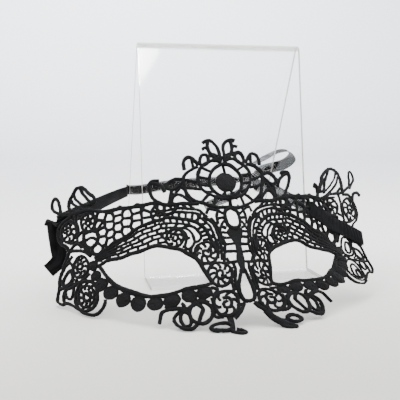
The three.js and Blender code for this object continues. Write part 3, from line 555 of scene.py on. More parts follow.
@dataclass
class LaceChart:
    """The lace of one half, drawn flat: outward from the nose line and up, in millimetres.

    A side of 0 is on both halves, -1 on the left one in the view, and 1 on the right one.
    """

    rim_width: float = 1.6
    line_width: float = 1.25
    rung_width: float = 1.15
    net_width: float = 1.4
    rung_lift: float = -0.15
    ring_lift: float = 0.1
    heart_lift: float = 0.2
    petal_lift: float = -0.1
    swirl_deg: float = 34.0
    back_share: float = -0.6
    curl_deg: float = 430.0
    curl_in: float = 0.78
    curl_parts: int = 36
    disc_squash: float = 0.8
    disc_inset: float = 0.3
    between_parts: int = 60
    cell_size: Row = (4.2, 3.4)
    border_step: float = 2.0
    step: float = 0.8
    strands: list[Strand] = field(default_factory=list)
    patches: list[tuple[list[Row], int]] = field(default_factory=list)
    discs: list[tuple[Row, float]] = field(default_factory=list)

    def cord(
        self, points: Rows, width: Optional[float] = None, closed: bool = False, side: int = 0
    ) -> list[Row]:
        """Adds a smooth cord through points, on both halves or on one, and gives its line."""
        line = smooth_line(points, closed, self.step)
        self.strands.append(Strand(line, width or self.line_width, closed, 0.0, side))
        return line

    def ring(
        self, centre: Row, radius: float, rise: Optional[float] = None, width: float = 1.3, side: int = 0
    ) -> None:
        """Adds a closed round or oval cord."""
        line = round_arc(centre, radius, 0, 360, rise)[:-1]
        self.strands.append(Strand(line, width, True, self.ring_lift, side))

    def rungs(self, first: Rows, second: Rows, count: int, start: float = 0.0, end: float = 1.0) -> None:
        """Adds straight bars between two lines, evenly along both."""
        for k in range(count):
            share = start + (end - start) * (k + 0.5) / count
            bar = [along_line(first, share), along_line(second, share)]
            self.strands.append(Strand(bar, self.rung_width, False, self.rung_lift))

    def between(self, first: Rows, second: Rows, share: float) -> list[Row]:
        """Gives the line a share of the way from one line to another."""
        shares = [i / self.between_parts for i in range(self.between_parts + 1)]
        pairs = [(along_line(first, part), along_line(second, part)) for part in shares]
        return [(a[0] + (b[0] - a[0]) * share, a[1] + (b[1] - a[1]) * share) for a, b in pairs]

    def rose(
        self,
        centre: Row,
        radius: float,
        inner: float,
        spokes: int,
        turn: float,
        width: float = 1.25,
        side: int = 0,
        back: bool = False,
    ) -> None:
        """Adds a rose: a ring, petal bars, and a heart that curls to the middle.

        Args:
            centre: The middle.
            radius: The ring's radius.
            inner: The heart's radius as a share of the ring's.
            spokes: How many bars join them.
            turn: Where the heart starts, in degrees.
            width: The cord's width.
            side: The half that it is on, or 0 for both.
            back: Whether its bars swirl the other way.
        """

        def spot(reach: float, degrees: float) -> Row:
            """Gives the place at a reach from the middle, in a direction."""
            angle = math.radians(degrees)
            return (centre[0] + reach * math.cos(angle), centre[1] + reach * math.sin(angle))

        self.ring(centre, radius, width=width, side=side)
        small = radius * inner
        shares = [i / self.curl_parts for i in range(self.curl_parts + 1)]
        heart = [spot(small * (1 - self.curl_in * s**1.2), turn + self.curl_deg * s) for s in shares]
        self.strands.append(Strand(heart, width, False, self.heart_lift, side))
        swirl = self.swirl_deg * (self.back_share if back else 1)
        for k in range(spokes):
            first = turn + 360 * (k + 0.5) / spokes
            shares = [i / 4 for i in range(5)]
            petal = [spot(small + (radius - small) * s**0.7, first + swirl * s) for s in shares]
            line = smooth_line(petal, False, self.step)
            self.strands.append(Strand(line, self.rung_width, False, self.petal_lift, side))

    def disc(self, centre: Row, radius: float) -> None:
        """Adds a padded disc of satin stitch, with a cord round it."""
        self.discs.append((centre, radius))
        self.ring(centre, radius - self.disc_inset, self.disc_squash * radius - self.disc_inset, 1.1)

    def loop(self, foot: Row, tip: Row, breadth: float) -> None:
        """Adds a leaf-shaped loop from its foot to its tip."""
        run = np.array(tip) - np.array(foot)
        across = np.array([-run[1], run[0]]) / np.linalg.norm(run) * breadth
        half = [(0, 0), (0.35, 0.33), (0.7, 0.5), (0.93, 0.32), (1, 0)]
        whole = half + [(far, -wide) for far, wide in half[3:0:-1]]
        line = [tuple(np.array(foot) + run * far + across * wide) for far, wide in whole]
        self.cord(line, 1.4, closed=True)

    def eye(self) -> None:
        """Draws the double rim of the eye hole and the row of stitched discs below it."""
        self.cord(
            [(86.3, 38), (80, 39.4), (70, 39), (60, 39.6), (50, 40.7), (44, 39.6), (36, 36.3), (29.5, 32)]
            + [(25.5, 28), (23, 23.5), (20.8, 18), (19, 13)],
            self.rim_width,
        )
        self.cord(
            [(19, 13), (26, 12.3), (36, 11.8), (45, 10.9), (52, 11.3), (60, 13.8), (68, 18.2), (75, 22.9)]
            + [(81, 29), (86.3, 38)],
            self.rim_width,
        )
        self.cord([(84.7, 34), (79.5, 25.6), (72.5, 19.4), (66, 15.5), (60, 12.4)], 1.1)
        rows = (
            (24.2, 8.2, 4.2), (33, 8, 4.3), (43.1, 7.2, 4.5), (53, 7.3, 4.4), (63.2, 9.4, 4.7),
            (72.5, 14, 4.8), (80.3, 20, 4.7), (86.6, 26.4, 4.4), (90, 32.8, 3.6), (90.8, 39.3, 3.4),
        )  # fmt: skip
        for out, up, radius in rows:
            self.disc((out, up), radius)

    def brow(self) -> None:
        """Draws the brow line, and the rows of short bars between it and the eye's rim."""
        brow = self.cord(
            [(89, 43.5), (82, 46), (75, 48.8), (70, 49.8), (65, 51.3), (60, 53), (55, 54.3), (50, 55.3)]
            + [(45, 55.8), (40, 56), (35, 55.3), (30, 54), (25, 51.8)]
            + [(20, 48), (17, 43), (15, 37), (14, 32)],
            1.5,
        )
        rim = [(88, 40.5), (80, 40.4), (70, 39.6), (60, 40), (50, 41), (43, 42)]
        low = smooth_line(rim, False, self.step)
        high = [p for p in brow if p[0] > 43]
        rows = [low] + [self.between(low, high, share) for share in (0.22, 0.42, 0.62, 0.82)] + [high]
        for row in rows[1:-1]:
            self.strands.append(Strand(row, 1.1))
        for i, (first, second) in enumerate(zip(rows, rows[1:])):
            shift = 0.07 * (i % 2)
            self.rungs(first, second, 7, shift + (0.0 if i < 2 else 0.1), 1.0 + shift)
        under = self.cord([(43, 52.9), (38, 52.3), (33, 51.6), (28, 50.2), (24.5, 48)], 1.1)
        lower = self.cord([(43, 50.3), (38, 49.5), (33, 48.7), (29, 47.8)], 1.1)
        self.cord([(43, 47.6), (39, 47.2), (34.5, 48.3)], 1.1)
        inner = smooth_line([(43, 55.8), (35, 55.3), (30, 54), (25, 51.8)], False, self.step)
        self.rungs(under, inner, 5)
        self.rungs(lower, under, 3)
        self.rose((36, 43), 5.2, 0.52, 7, turn=20, width=1.2)
        for points in (
            [(32, 47.4), (29.8, 44.5), (29.2, 41), (30.6, 37.6)],
            [(25, 38.5), (26.6, 36.2), (29.2, 35.2), (32.6, 37)],
            [(22.5, 35.6), (24.4, 33), (27.4, 32.4), (29, 34.8)],
            [(29.2, 41), (27.2, 41.4)],
            [(26.8, 36.2), (28, 33.6)],
            [(30.6, 37.6), (31.4, 34.6)],
            [(41.2, 43.4), (43.4, 45.2), (44.6, 48)],
            [(41.4, 42), (45.4, 41.6)],
            [(39, 47.4), (41.4, 48.8)],
        ):
            self.cord(points, 1.15)
        self.cord([(29.3, 48.2), (26.5, 45), (25.3, 41), (24.8, 38.3)], 1.2)
        self.cord([(28.5, 49.5), (24.5, 48), (22, 44.5), (21, 41.3), (22.5, 39.3), (25, 38.5)], 1.2)

    def nose(self) -> None:
        """Draws the rails and roses beside the nose, and the drop, spindle and arch on its line."""
        self.rose((19.6, 31), 6.6, 0.46, 8, turn=120, back=True)
        self.rose((13.6, 17.6), 6.9, 0.46, 9, turn=200, back=True)
        self.rose((13, 0.5), 7.2, 0.52, 6, turn=60, width=1.4)
        first = self.cord([(13.5, 52), (10, 45), (8.7, 39), (8.2, 32), (9.6, 26), (10.6, 23.5)], 1.2)
        second = self.cord([(17.5, 53.5), (13.2, 48.5), (11, 42), (10.6, 36), (10.4, 30), (10.9, 26)], 1.2)
        third = self.cord([(21, 54.5), (16.7, 49.5), (14, 44), (12.8, 38), (12.3, 32), (13, 27)], 1.2)
        outer = smooth_line([(25, 51.8), (20, 48), (17, 43), (15, 37), (14, 32)], False, self.step)
        self.rungs(first, second, 6, 0.0, 0.8)
        self.rungs(third, outer, 6)
        self.rungs([(23, 47), (20.5, 43), (20.3, 38)], [(20, 48), (17, 43), (15.5, 38)], 4)
        fan = self.cord([(45, 58.8), (38, 58.6), (30, 58), (24, 56.5), (18.5, 53.8)], 1.2)
        over = self.cord([(47, 61.5), (38, 61), (30, 60.2), (24, 59), (19.5, 57), (15, 52.5)], 1.2)
        self.rungs(fan, [(45, 55.8), (35, 55.3), (30, 54), (25, 51.8), (20, 48)], 7)
        self.rungs(over, [(45, 66.7), (40, 65), (35, 63.5), (25, 62.6), (19, 61.6)], 6, 0.0, 0.8)
        self.cord([(0, 56.8), (4, 54.8), (5.1, 50.5), (3.6, 46), (0, 43)], 1.5)
        spindle = [(0, 45), (4.2, 44), (5.5, 42), (4.3, 39.5), (3, 36.5), (2, 33), (1.8, 29), (2.4, 25.5)]
        self.patches.append((spindle + [(2.3, 22.5), (1.4, 19), (0.4, 16.5), (0, 16.5)], 0))
        self.cord([(1.2, 19), (2.6, 14), (4.2, 9), (4.2, 4.2), (2.6, 1), (0, -0.2)], 1.5)
        self.cord([(5.2, 24), (4.6, 19), (5.4, 13), (5.6, 8), (4.6, 4.5)], 1.3)
        for up, start, end in ((38.6, 3.5, 8.6), (34.4, 2, 8.4), (29.8, 1.8, 8.3), (23.6, 2.2, 10)):
            self.cord([(start, up), (end, up + 0.3)], 1.2)
        for points in (
            [(5, 52.6), (8.6, 55.6), (13.4, 58)],
            [(3, 56), (5.4, 58.6)],
            [(8.6, 55.6), (10.2, 51.4), (9.6, 47.6)],
            [(8.6, 55.6), (7.2, 58.4)],
            [(13.4, 58), (15.4, 55)],
            [(5.1, 49.2), (7.4, 47.4), (8.8, 44)],
            [(6.4, 21), (7.4, 14), (7.6, 8)],
            [(7.2, 23.4), (8.4, 26.4)],
        ):
            self.cord(points, 1.2)
        self.cord([(5, 44.5), (8.6, 46.5)], 1.2)
        self.cord([(5.2, 51), (10.2, 50.8)], 1.2)
        self.cord([(5, 42), (8.9, 42.3)], 1.2)

    def crest(self) -> None:
        """Draws the crest: its disc, its rings and bars, and the scrolls and leaves on it."""
        self.strands.append(Strand(round_arc((0, 74.4), 10.5, -90, 90), 1.5))
        self.patches.append((round_arc((0, 74.4), 9.8, 40, 90) + round_arc((0, 75.6), 10.6, 90, 32), 0))
        self.cord([(0, 79), (0, 84)], 1.3)
        self.cord([(0, 64), (0, 57)], 1.5)
        self.cord([(2, 68), (2.6, 64.4)], 1.3)
        self.strands.append(Strand(round_arc((0, 76.2), 17.2, -90, 90, 13.2), 1.4))
        for degrees in (-62, -38, -12, 12, 38):
            a = math.radians(degrees)
            low = (10.5 * math.cos(a), 74.4 + 10.5 * math.sin(a))
            high = (17.2 * math.cos(a * 0.95), 76.2 + 13.2 * math.sin(a * 0.95))
            self.cord([low, high], 1.2)
        self.cord(
            [(0, 57), (6, 57.4), (12, 59.3), (18, 62), (23, 66), (25.6, 71), (26, 76), (24.6, 80.5)]
            + [(21, 83.4), (15.5, 85)],
            1.5,
        )
        for points in (
            [(8.5, 64.5), (10, 58.6)],
            [(12.5, 66), (17.5, 62)],
            [(25.9, 78), (21, 76), (17.2, 75.6)],
            [(25.6, 72.6), (20.5, 71.2), (16, 70)],
            [(26, 72), (28.3, 74.6)],
            [(4.2, 66.4), (1.4, 62.8), (0, 61.4)],
            [(6.6, 65.4), (4.6, 62.4)],
            [(31.5, 70.5), (28.5, 73.5)],
            [(33.8, 70.2), (31.2, 69.4)],
            [(37.6, 75.5), (36, 77)],
            [(19.3, 91.2), (19, 88), (18.6, 84.8)],
            [(7.4, 94), (9.2, 97), (11.6, 96.4)],
            [(2.6, 90.6), (5, 92.2), (8, 91)],
            [(2.5, 88), (7, 88.2), (9, 87)],
        ):
            self.cord(points)
        for points in (
            [(26.3, 78.6), (31, 79.3), (35.3, 77.2), (36, 74.6), (33, 73), (29.5, 74.4), (26, 76.8)],
            [(33.2, 73), (34.4, 70), (36.6, 65)],
            [(35.5, 65), (33.2, 68.2), (30, 69.3), (26.5, 67), (23, 63.4)],
            [(40, 65), (44, 68.2), (46.7, 73), (47, 78.5), (44.3, 81), (40.6, 80.4)],
            [(45.5, 80), (42.5, 78.8), (39, 75.8), (37.6, 72.2)],
            [(15.3, 85.8), (17.5, 89.3), (20.5, 92), (23.4, 91), (24.4, 88), (24.2, 84.6)],
            [(14, 85.6), (13.8, 89.5), (12, 92.6), (9.6, 92.6), (8.4, 90), (9.2, 87.2), (12, 85.3)],
            [(1.2, 86.6), (1.5, 92), (2.2, 97), (4.4, 100.6), (7.4, 101.6), (10.2, 100.4)],
            [(7, 101), (8, 97.5), (7.4, 94), (5.2, 91), (3.4, 88.4), (1.4, 86.6)],
        ):
            self.cord(points, 1.5)

    def wing(self) -> None:
        """Draws the outer wing: the top edge, its leaves and roses, and the side edge."""
        self.cord(
            [(116, 80.5), (111, 79.6), (105, 76.8), (98, 76.3)]
            + [(92, 75.3), (85, 72.6), (78, 70.4), (70, 69.3)]
            + [(60, 68), (50, 67), (45, 66.7), (40, 65), (35, 63.5), (25, 62.6), (19, 61.6)],
            self.rim_width,
        )
        self.loop((115.3, 80.6), (122.2, 92.6), 7.2)
        self.cord(
            [(104.6, 76.8), (106, 82.5), (105, 87), (101, 90.2), (97, 92), (93.5, 91.6), (88, 85.5)]
            + [(84.8, 82), (84.2, 79), (86.5, 78.4), (91, 84.3), (93.8, 88.5), (94.5, 91.8)],
            1.5,
        )
        self.rose((91.5, 67.2), 5.8, 0.5, 7, turn=80, back=True)
        self.rose((108.7, 66.3), 6.8, 0.5, 7, turn=30)
        self.rose((101.2, 41.3), 6.6, 0.5, 8, turn=250, side=-1)
        self.rose((99, 22.5), 9.3, 0.42, 9, turn=140, width=1.4, side=-1)
        self.ring((99, 22.5), 6.6, width=1.2, side=-1)
        for centre, radius, rise in (
            ((101.2, 41.3), 6.6, 6.6), ((101.6, 40.6), 3, 4), ((99, 22.5), 9.3, 9.3), ((99.6, 21.6), 5, 6.6),
            ((100.4, 19.6), 2, 3.4),
        ):  # fmt: skip
            self.ring(centre, radius, rise, 1.2, side=1)
        self.cord([(134, 79.5), (131.5, 81.6), (127.5, 80), (123, 77), (119, 74)], 1.3, side=-1)
        self.cord([(116, 73), (120, 77.6), (125, 78.6), (130, 78)], 1.7, side=1)
        self.cord([(78, 79), (80, 81), (82.6, 80), (83, 77), (81.5, 74), (78, 71)], 1.6, side=1)
        for points in (
            [(103.8, 86.8), (102.3, 83), (98.5, 79.5), (92.5, 76)],
            [(101, 89.8), (99.8, 85.5), (96, 81), (88.5, 77.5)],
            [(104.5, 79.8), (101, 77.2)],
            [(113.5, 63), (117.5, 66.5), (117, 70)],
            [(101, 76), (101, 70), (100.6, 64), (101.6, 58), (99, 53)],
            [(116, 63), (109, 59), (102, 58)],
            [(97, 73.6), (88, 73)],
            [(96.5, 63.2), (100.5, 61)],
            [(95.6, 56.3), (91, 57.2), (86, 54.3)],
            [(84.8, 60.5), (80.5, 64)],
            [(101, 56.5), (96, 56.6)],
            [(108, 50), (114.5, 46), (119, 43)],
            [(115, 45.3), (110, 46.4), (108, 41.5), (108.8, 36), (105.5, 33.8)],
            [(95, 35.4), (99, 33.3), (104, 32.2), (110, 33.4)],
            [(117.6, 30), (116.2, 26), (112.5, 24.2), (110.4, 27.5), (109.5, 30.3)],
        ):
            self.cord(points)
        for points in (
            [(105, 75.3), (112, 74.8), (117.5, 71.5), (120, 66), (117.5, 61), (112.5, 57.5), (110.5, 53.5)],
            [(110.5, 53.5), (106, 55.8), (100, 55.8), (94.5, 50.5), (89, 46)],
            [(109.6, 54), (103.5, 52.2), (97.5, 50.4), (92, 46)],
            [(110.5, 53.5), (113.5, 48.5), (118.5, 44.3), (121.8, 39.5), (123.4, 34.5), (125.5, 30.5)]
            + [(127, 27), (125.3, 24.2), (121.5, 22.6), (119.6, 23)],
            [(109.8, 41.5), (114.6, 40.4), (118.6, 36.5), (118.4, 33.8)]
            + [(113, 34), (109, 36.8), (109.8, 41.5)],
            [(122.5, 32.6), (115.5, 32.4), (110, 33.6)],
            [(120, 24), (119.5, 28), (116.5, 31), (109, 31.2), (102, 32)],
            [(119.6, 23), (116, 22), (112, 19.8), (108, 16.5), (104, 14.2)],
            [(105.6, 14.2), (101, 11), (95, 9.8), (89.6, 11), (85.5, 14.6), (84.6, 17)],
            [(96.2, 60.5), (95.7, 55), (91.8, 50.6), (86.4, 52.4), (84.6, 56.2), (87, 60.2), (93, 61.4)]
            + [(96.2, 60.5)],
        ):
            self.cord(points, 1.5)

    def net(self) -> None:
        """Draws the net over the brow: a cell of thread round each small hole, shared with its neighbours."""
        rows = (
            (69.5, 63.3), (57.2, 61.2), (76, 60.7), (70, 58), (64, 59.4), (76, 55.5), (64.6, 54),
            (57.8, 56.6), (51.5, 57), (43.8, 58.5), (71, 52), (81.5, 53), (76.2, 50.3), (75.4, 65.3),
            (63.3, 64.2), (81.2, 57.5), (57.5, 65.6), (48.5, 64), (42, 63.3), (51, 61), (82.5, 63),
            (80.5, 68), (86.5, 48.6), (69.4, 67.2), (37, 61.6), (45.4, 61.4),
        )  # fmt: skip
        top = [(92, 75.3), (85, 72.6), (78, 70.4), (70, 69.3), (60, 68), (45, 66.7), (35, 63.5)]
        brow = [(89, 43.5), (82, 46), (75, 48.8), (65, 51.3), (55, 54.3), (45, 55.8)]
        borders = [smooth_line(edge, False, self.border_step) for edge in (top, brow)]
        wide, tall = self.cell_size
        for centre in rows:
            cell = round_arc(centre, wide, 0, 360, tall)[:-1]
            others = [other for other in rows if other != centre]
            for other in others:
                cell = self._clipped(cell, centre, [(a + b) / 2 for a, b in zip(centre, other)])
            for border in borders:
                cell = self._clipped(cell, centre, min(border, key=lambda p: math.dist(p, centre)))
            self.strands.append(Strand(cell, self.net_width, True))

    @staticmethod
    def _clipped(cell: list[Row], centre: Row, limit: Sequence[float]) -> list[Row]:
        """Cuts off what lies past a limit, square to the way from the centre to it."""
        way = (limit[0] - centre[0], limit[1] - centre[1])
        past = [(p[0] - limit[0]) * way[0] + (p[1] - limit[1]) * way[1] for p in cell]
        kept: list[Row] = []
        for i, (p, here) in enumerate(zip(cell, past)):
            before, there = cell[i - 1], past[i - 1]
            if (here > 0) != (there > 0):
                share = there / (there - here)
                kept.append(tuple(b + (a - b) * share for a, b in zip(p, before)))
            if here <= 0:
                kept.append(p)
        return kept

    def lower(self) -> None:
        """Draws what hangs below the discs and the nose."""
        for points in (
            [(47.5, 5), (45.8, 3)],
            [(38.2, 4.5), (36.2, 2)],
            [(34.3, 1), (31, 4), (26.5, 4.6), (22.5, 2)],
            [(20.6, 4.6), (20.8, 0), (22.3, -3)],
            [(7.1, -1.5), (2.6, -1)],
            [(6.5, -3.3), (9.5, -4.6)],
            [(20.4, 5.2), (15.8, 8.8)],
            [(20.6, 10.4), (15.6, 9)],
            [(8.6, 7), (5.4, 8)],
            [(21.5, -1), (20, -6), (15.5, -7)],
        ):
            self.cord(points)
        for points in (
            [(52.6, -4.2), (51.3, -1.2), (49.8, 1.6), (46.5, 2.6), (42, 2.3), (38, 1.2), (34.5, 0.6)],
            [(30.2, 3.4), (27, -0.2), (28.2, -4.5), (30, -8.3)],
            [(34.6, 0.2), (40, 0.2), (43.2, -3), (42.6, -7.2), (39, -10.4), (35, -10.9), (31.6, -9)],
            [(2.6, -1), (4.6, -3.6), (7.6, -6.2), (10, -8.5)],
        ):
            self.cord(points, 1.5)
        left_curl = [(13.8, -15.6), (11.6, -18.2), (9.2, -20), (6.4, -18.8), (7.6, -16.6), (10.5, -15.2)]
        right_curl = [(11.4, -14.4), (12.6, -17), (14.4, -19), (16.4, -19.2), (16.2, -17.6), (14.2, -15.6)]
        self.cord(left_curl, 1.5, side=-1)
        self.cord(right_curl, 1.5, side=1)
        self.ring((28, -2.6), 6.3, width=1.5)
        self.ring((37, -4.6), 2.9, 4.2, 1.4)
        self.ring((18.6, -12.8), 6, 2.6, 1.5, side=-1)
        self.ring((19.2, -12.4), 3.4, 2.2, 1.4, side=1)
        self.cord([(7.6, -6.2), (9.6, -9.6), (11.8, -13.6), (14, -17)], 2.3, side=1)
        self.cord([(15.4, -13.6), (12.6, -12.6), (10.4, -9.6)], 1.4, side=1)
        left_end = [(14.2, -6.5), (11, -7), (10.8, -11), (11.2, -15), (13.2, -15.4), (13.8, -12)]
        self.patches.append((left_end, -1))

    def draw(self) -> "LaceChart":
        """Draws every region, and gives the chart itself."""
        for region in (self.eye, self.brow, self.nose, self.crest, self.wing, self.net, self.lower):
            region()
        return self


def select_only(*objects: bpy.types.Object) -> None:
    """Deselects all, then selects these objects and makes the first one active."""
    bpy.ops.object.select_all(action="DESELECT")
    for one in objects:
        one.select_set(True)
    bpy.context.view_layer.objects.active = objects[0]


def vertices_of(piece: bpy.types.Object) -> np.ndarray:
    """Gives a mesh's vertices as rows of x, y and z."""
    flat = np.empty(len(piece.data.vertices) * 3)
    piece.data.vertices.foreach_get("co", flat)
    return flat.reshape(-1, 3)


def set_vertices(piece: bpy.types.Object, rows: np.ndarray) -> None:
    """Moves a mesh's vertices to these rows."""
    piece.data.vertices.foreach_set("co", np.ascontiguousarray(rows, float).ravel())
    piece.data.update()


def set_uv(piece: bpy.types.Object, rows: np.ndarray) -> None:
    """Gives a mesh its UV map, in metres, from a row in millimetres for each vertex."""
    layers = piece.data.uv_layers
    layer = layers[0] if layers else layers.new()
    corners = np.empty(len(piece.data.loops), int)
    piece.data.loops.foreach_get("vertex_index", corners)
    layer.data.foreach_set("uv", (rows[corners] * MM).ravel())


def dress(piece: bpy.types.Object, material: bpy.types.Material, node: str) -> None:
    """Gives a finished piece its material, its body and the CAD node that it stands for."""
    piece.data.materials.clear()
    piece.data.materials.append(material)
    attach(piece, "root")
    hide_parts(node)
    LOG.info("%s: %d faces", piece.name, len(piece.data.polygons))


def curve_mesh(name: str, curve: bpy.types.Curve) -> bpy.types.Object:
    """Turns a curve into a mesh object of that name."""
    bent = bpy.data.objects.new(name, curve)
    bpy.context.scene.collection.objects.link(bent)
    select_only(bent)
    bpy.ops.object.convert(target="MESH")
    return bpy.context.view_layer.objects.active


@dataclass
class Lace:
    """The mask itself: cords, padded discs and solid patches, made flat and then laid on the form.

    The outer right half turns away from the viewer, where its cords are slimmer and its discs broader.
    The thread's turns and knobs are drawn coarser than real thread, which is too fine to show. The cloth
    wavers along and up by two waves: each has its rate, and the swing, rate and start that vary it.
    """

    chart: LaceChart
    cord_sides: int = 8
    plump: float = 1.64
    slim: float = 0.74
    slim_past: float = 93.0
    knob_mm: float = 1.3
    knob_height: float = 0.6
    stitch_height: float = 1.2
    wrap_mm: float = 1.6
    wrap_share: float = 0.05
    disc_height: float = 1.3
    disc_wide: float = 1.08
    disc_tall: float = 0.88
    disc_rings: int = 14
    turned_away: float = 1.3
    turned_past: float = 70.0
    crest_disc: tuple[Row, float, float] = ((0.0, 73.2), 6.1, 1.08)
    waver_mm: float = 0.26
    waves: tuple[tuple[float, ...], ...] = ((0.42, 1.7, 0.21, 0.6), (0.38, 1.9, 0.27, 2.1))
    off_wave: Row = (0.33, 0.29)
    patch_thickness: float = 0.9
    patch_round: float = 0.2

    def cords(self, side: int, name: str) -> bpy.types.Object:
        """Makes the cords of one half.

        Args:
            side: -1 for the left half in the view, 1 for the right.
            name: The piece's name.

        Returns:
            The bent mesh.
        """
        curve = bpy.data.curves.new(name, "CURVE")
        curve.dimensions = "3D"
        curve.bevel_depth = MM
        curve.bevel_resolution = self.cord_sides // 2 - 2
        curve.use_fill_caps = True
        for strand in self.chart.strands:
            if strand.side == -side:
                continue
            spline = curve.splines.new("POLY")
            spline.points.add(len(strand.line) - 1)
            spline.use_cyclic_u = strand.closed
            run = 0.0
            for i, (point, (out, up)) in enumerate(zip(spline.points, strand.line)):
                run += math.dist(strand.line[i - 1], (out, up)) if i else 0.0
                point.co = (side * out * MM, up * MM, strand.lift * MM, 1)
                wrap = 1 + self.wrap_share * math.sin(math.tau * run / self.wrap_mm)
                slim = self.slim if side > 0 and out > self.slim_past else 1
                point.radius = strand.width / 2 * wrap * self.plump * slim
        return self._bend(self._knobbed(curve_mesh(name, curve), self.knob_height))

    def _knobbed(self, piece: bpy.types.Object, height: float) -> bpy.types.Object:
        """Makes the surface knobbly, as thread wound over thread leaves it."""
        knobs = bpy.data.textures.new(piece.name + "_knobs", "CLOUDS")
        knobs.noise_scale = self.knob_mm * MM
        knobs.noise_depth = 1
        bumps = piece.modifiers.new("knobs", "DISPLACE")
        bumps.texture = knobs
        bumps.texture_coords = "LOCAL"
        bumps.strength = height * MM
        bumps.mid_level = 0.5
        select_only(piece)
        bpy.ops.object.modifier_apply(modifier=bumps.name)
        return piece

    def discs(self, name: str) -> bpy.types.Object:
        """Makes the padded discs below both eyes and the one in the crest."""
        rows = []
        for (out, up), radius in self.chart.discs:
            for side in (-1, 1):
                broad = self.turned_away if side > 0 and out > self.turned_past else 1
                rows.append(((side * out, up), radius * broad, self.disc_tall))
        made = []
        for (across, up), radius, tall in [*rows, self.crest_disc]:
            bpy.ops.object.select_all(action="DESELECT")
            bpy.ops.mesh.primitive_uv_sphere_add(
                segments=2 * self.disc_rings,
                ring_count=self.disc_rings,
                radius=radius * MM,
                location=(across * MM, up * MM, 0),
            )
            dome = bpy.context.view_layer.objects.active
            dome.scale = (self.disc_wide, tall, self.disc_height / radius)
            made.append(dome)
        select_only(*made)
        bpy.ops.object.join()
        bpy.ops.object.transform_apply(location=True, rotation=True, scale=True)
        joined = bpy.context.view_layer.objects.active
        joined.name = name
        return self._bend(self._knobbed(joined, self.stitch_height))

    def patches(self, name: str) -> bpy.types.Object:
        """Makes the solid patches: the spindle on the nose line, the crest's cap and the foot's end."""
        curve = bpy.data.curves.new(name, "CURVE")
        curve.dimensions = "2D"
        curve.fill_mode = "BOTH"
        curve.bevel_depth = self.patch_round * MM
        curve.bevel_resolution = 2
        curve.extrude = (self.patch_thickness / 2 - self.patch_round) * MM
        for edge, half in self.chart.patches:
            for side in (half,) if half else (-1, 1):
                spline = curve.splines.new("POLY")
                spline.points.add(len(edge) - 1)
                spline.use_cyclic_u = True
                for point, (out, up) in zip(spline.points, edge):
                    point.co = (side * out * MM, up * MM, 0, 1)
        return self._bend(curve_mesh(name, curve))

    def _bend(self, piece: bpy.types.Object) -> bpy.types.Object:
        """Lays a flat piece on the form, a little uneven, with smooth shading and its normals outward."""
        flat = vertices_of(piece)
        at = flat[:, :2].T / MM
        waver = self.waver_mm * MM
        for axis, (rate, swing, slow, begin) in enumerate(self.waves):
            flat[:, axis] += waver * np.sin(at[1 - axis] * rate + swing * np.sin(at[axis] * slow) + begin)
        flat[:, 2] += waver * np.sin(at[0] * self.off_wave[0] + at[1] * self.off_wave[1])
        set_vertices(piece, FORM.lay(flat))
        select_only(piece)
        bpy.ops.object.mode_set(mode="EDIT")
        bpy.ops.mesh.select_all(action="SELECT")
        bpy.ops.mesh.normals_make_consistent(inside=False)
        bpy.ops.object.mode_set(mode="OBJECT")
        bpy.ops.object.shade_smooth_by_angle(angle=math.radians(50))
        return piece

    def build(self) -> None:
        """Builds the mask and dresses it."""
        cord, stitched = WOUND_CORD.make(), STITCHED_DISC.make()
        dress(self.cords(-1, "lace_cords_left"), cord, "lace_mask")
        dress(self.cords(1, "lace_cords_right"), cord, "lace_mask")
        dress(self.discs("lace_padded_discs"), stitched, "lace_mask")
        dress(self.patches("lace_solid_patches"), stitched, "lace_mask")


@dataclass
class Stand:
    """The clear sheet stand, kept as its CAD node, and the places that it gives the ribbons."""

    panel_width: float = 127.0
    panel_height: float = 174.0
    panel_lean_deg: float = 8.74
    leg_splay_deg: float = 29.2
    ledge_depth: float = 35.0
    sheet: float = 2.5
    bend_radius: float = 3.0

    @property
    def slope(self) -> Vector:
        """The way up the back leg."""
        splay = math.radians(self.leg_splay_deg)
        return Vector((0, -math.sin(splay), math.cos(splay)))

    @property
    def off_leg(self) -> Vector:
        """The way off the back leg's outer face."""
        splay = math.radians(self.leg_splay_deg)
        return Vector((0, math.cos(splay), math.sin(splay)))

    def on_leg(self, side: float, height: float, off: float) -> Vector:
        """Finds a place on the leg's outer face: sideways, above the table, and off the face."""
        lean, splay = math.radians(self.panel_lean_deg), math.radians(self.leg_splay_deg)
        half, tilt = (lean + splay) / 2, (splay - lean) / 2
        bend = self.bend_radius + self.sheet
        rise = self.panel_height + bend * (math.cos(tilt) / math.sin(half) - 1)
        rise -= self.sheet / math.sin(half) * math.cos(tilt)
        fold = self.ledge_depth / 2 + rise * math.tan(lean)
        away = fold + (rise - height) * math.tan(splay)
        return Vector((side, away, height)) + self.off_leg * (self.sheet + off)

    def build(self) -> None:
        """Gives the CAD stand its clear material."""
        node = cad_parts["display_stand"]
        node.data.materials.clear()
        node.data.materials.append(CLEAR_SHEET.make())
        LOG.info("display_stand: CAD mesh kept")


@dataclass
class Path:
    """A ribbon's path: places, and the way that its width points at each."""

    rows: list[tuple[Vector, Vector]] = field(default_factory=list)

    def add(self, place: Vector, wide: Vector) -> None:
        """Adds one place, with the way that the width points there."""
        self.rows.append((place, wide.normalized()))

    def line(self, step: float) -> tuple[np.ndarray, np.ndarray]:
        """Gives the smooth centre line and the widths along it, both as rows."""
        both = smooth_line([(*place, *wide) for place, wide in self.rows], False, step)
        table = np.array(both)
        along = np.gradient(table[:, :3], axis=0)
        along /= np.linalg.norm(along, axis=1)[:, None]
        wide = table[:, 3:] - along * np.sum(table[:, 3:] * along, axis=1)[:, None]
        return table[:, :3], wide / np.linalg.norm(wide, axis=1)[:, None]


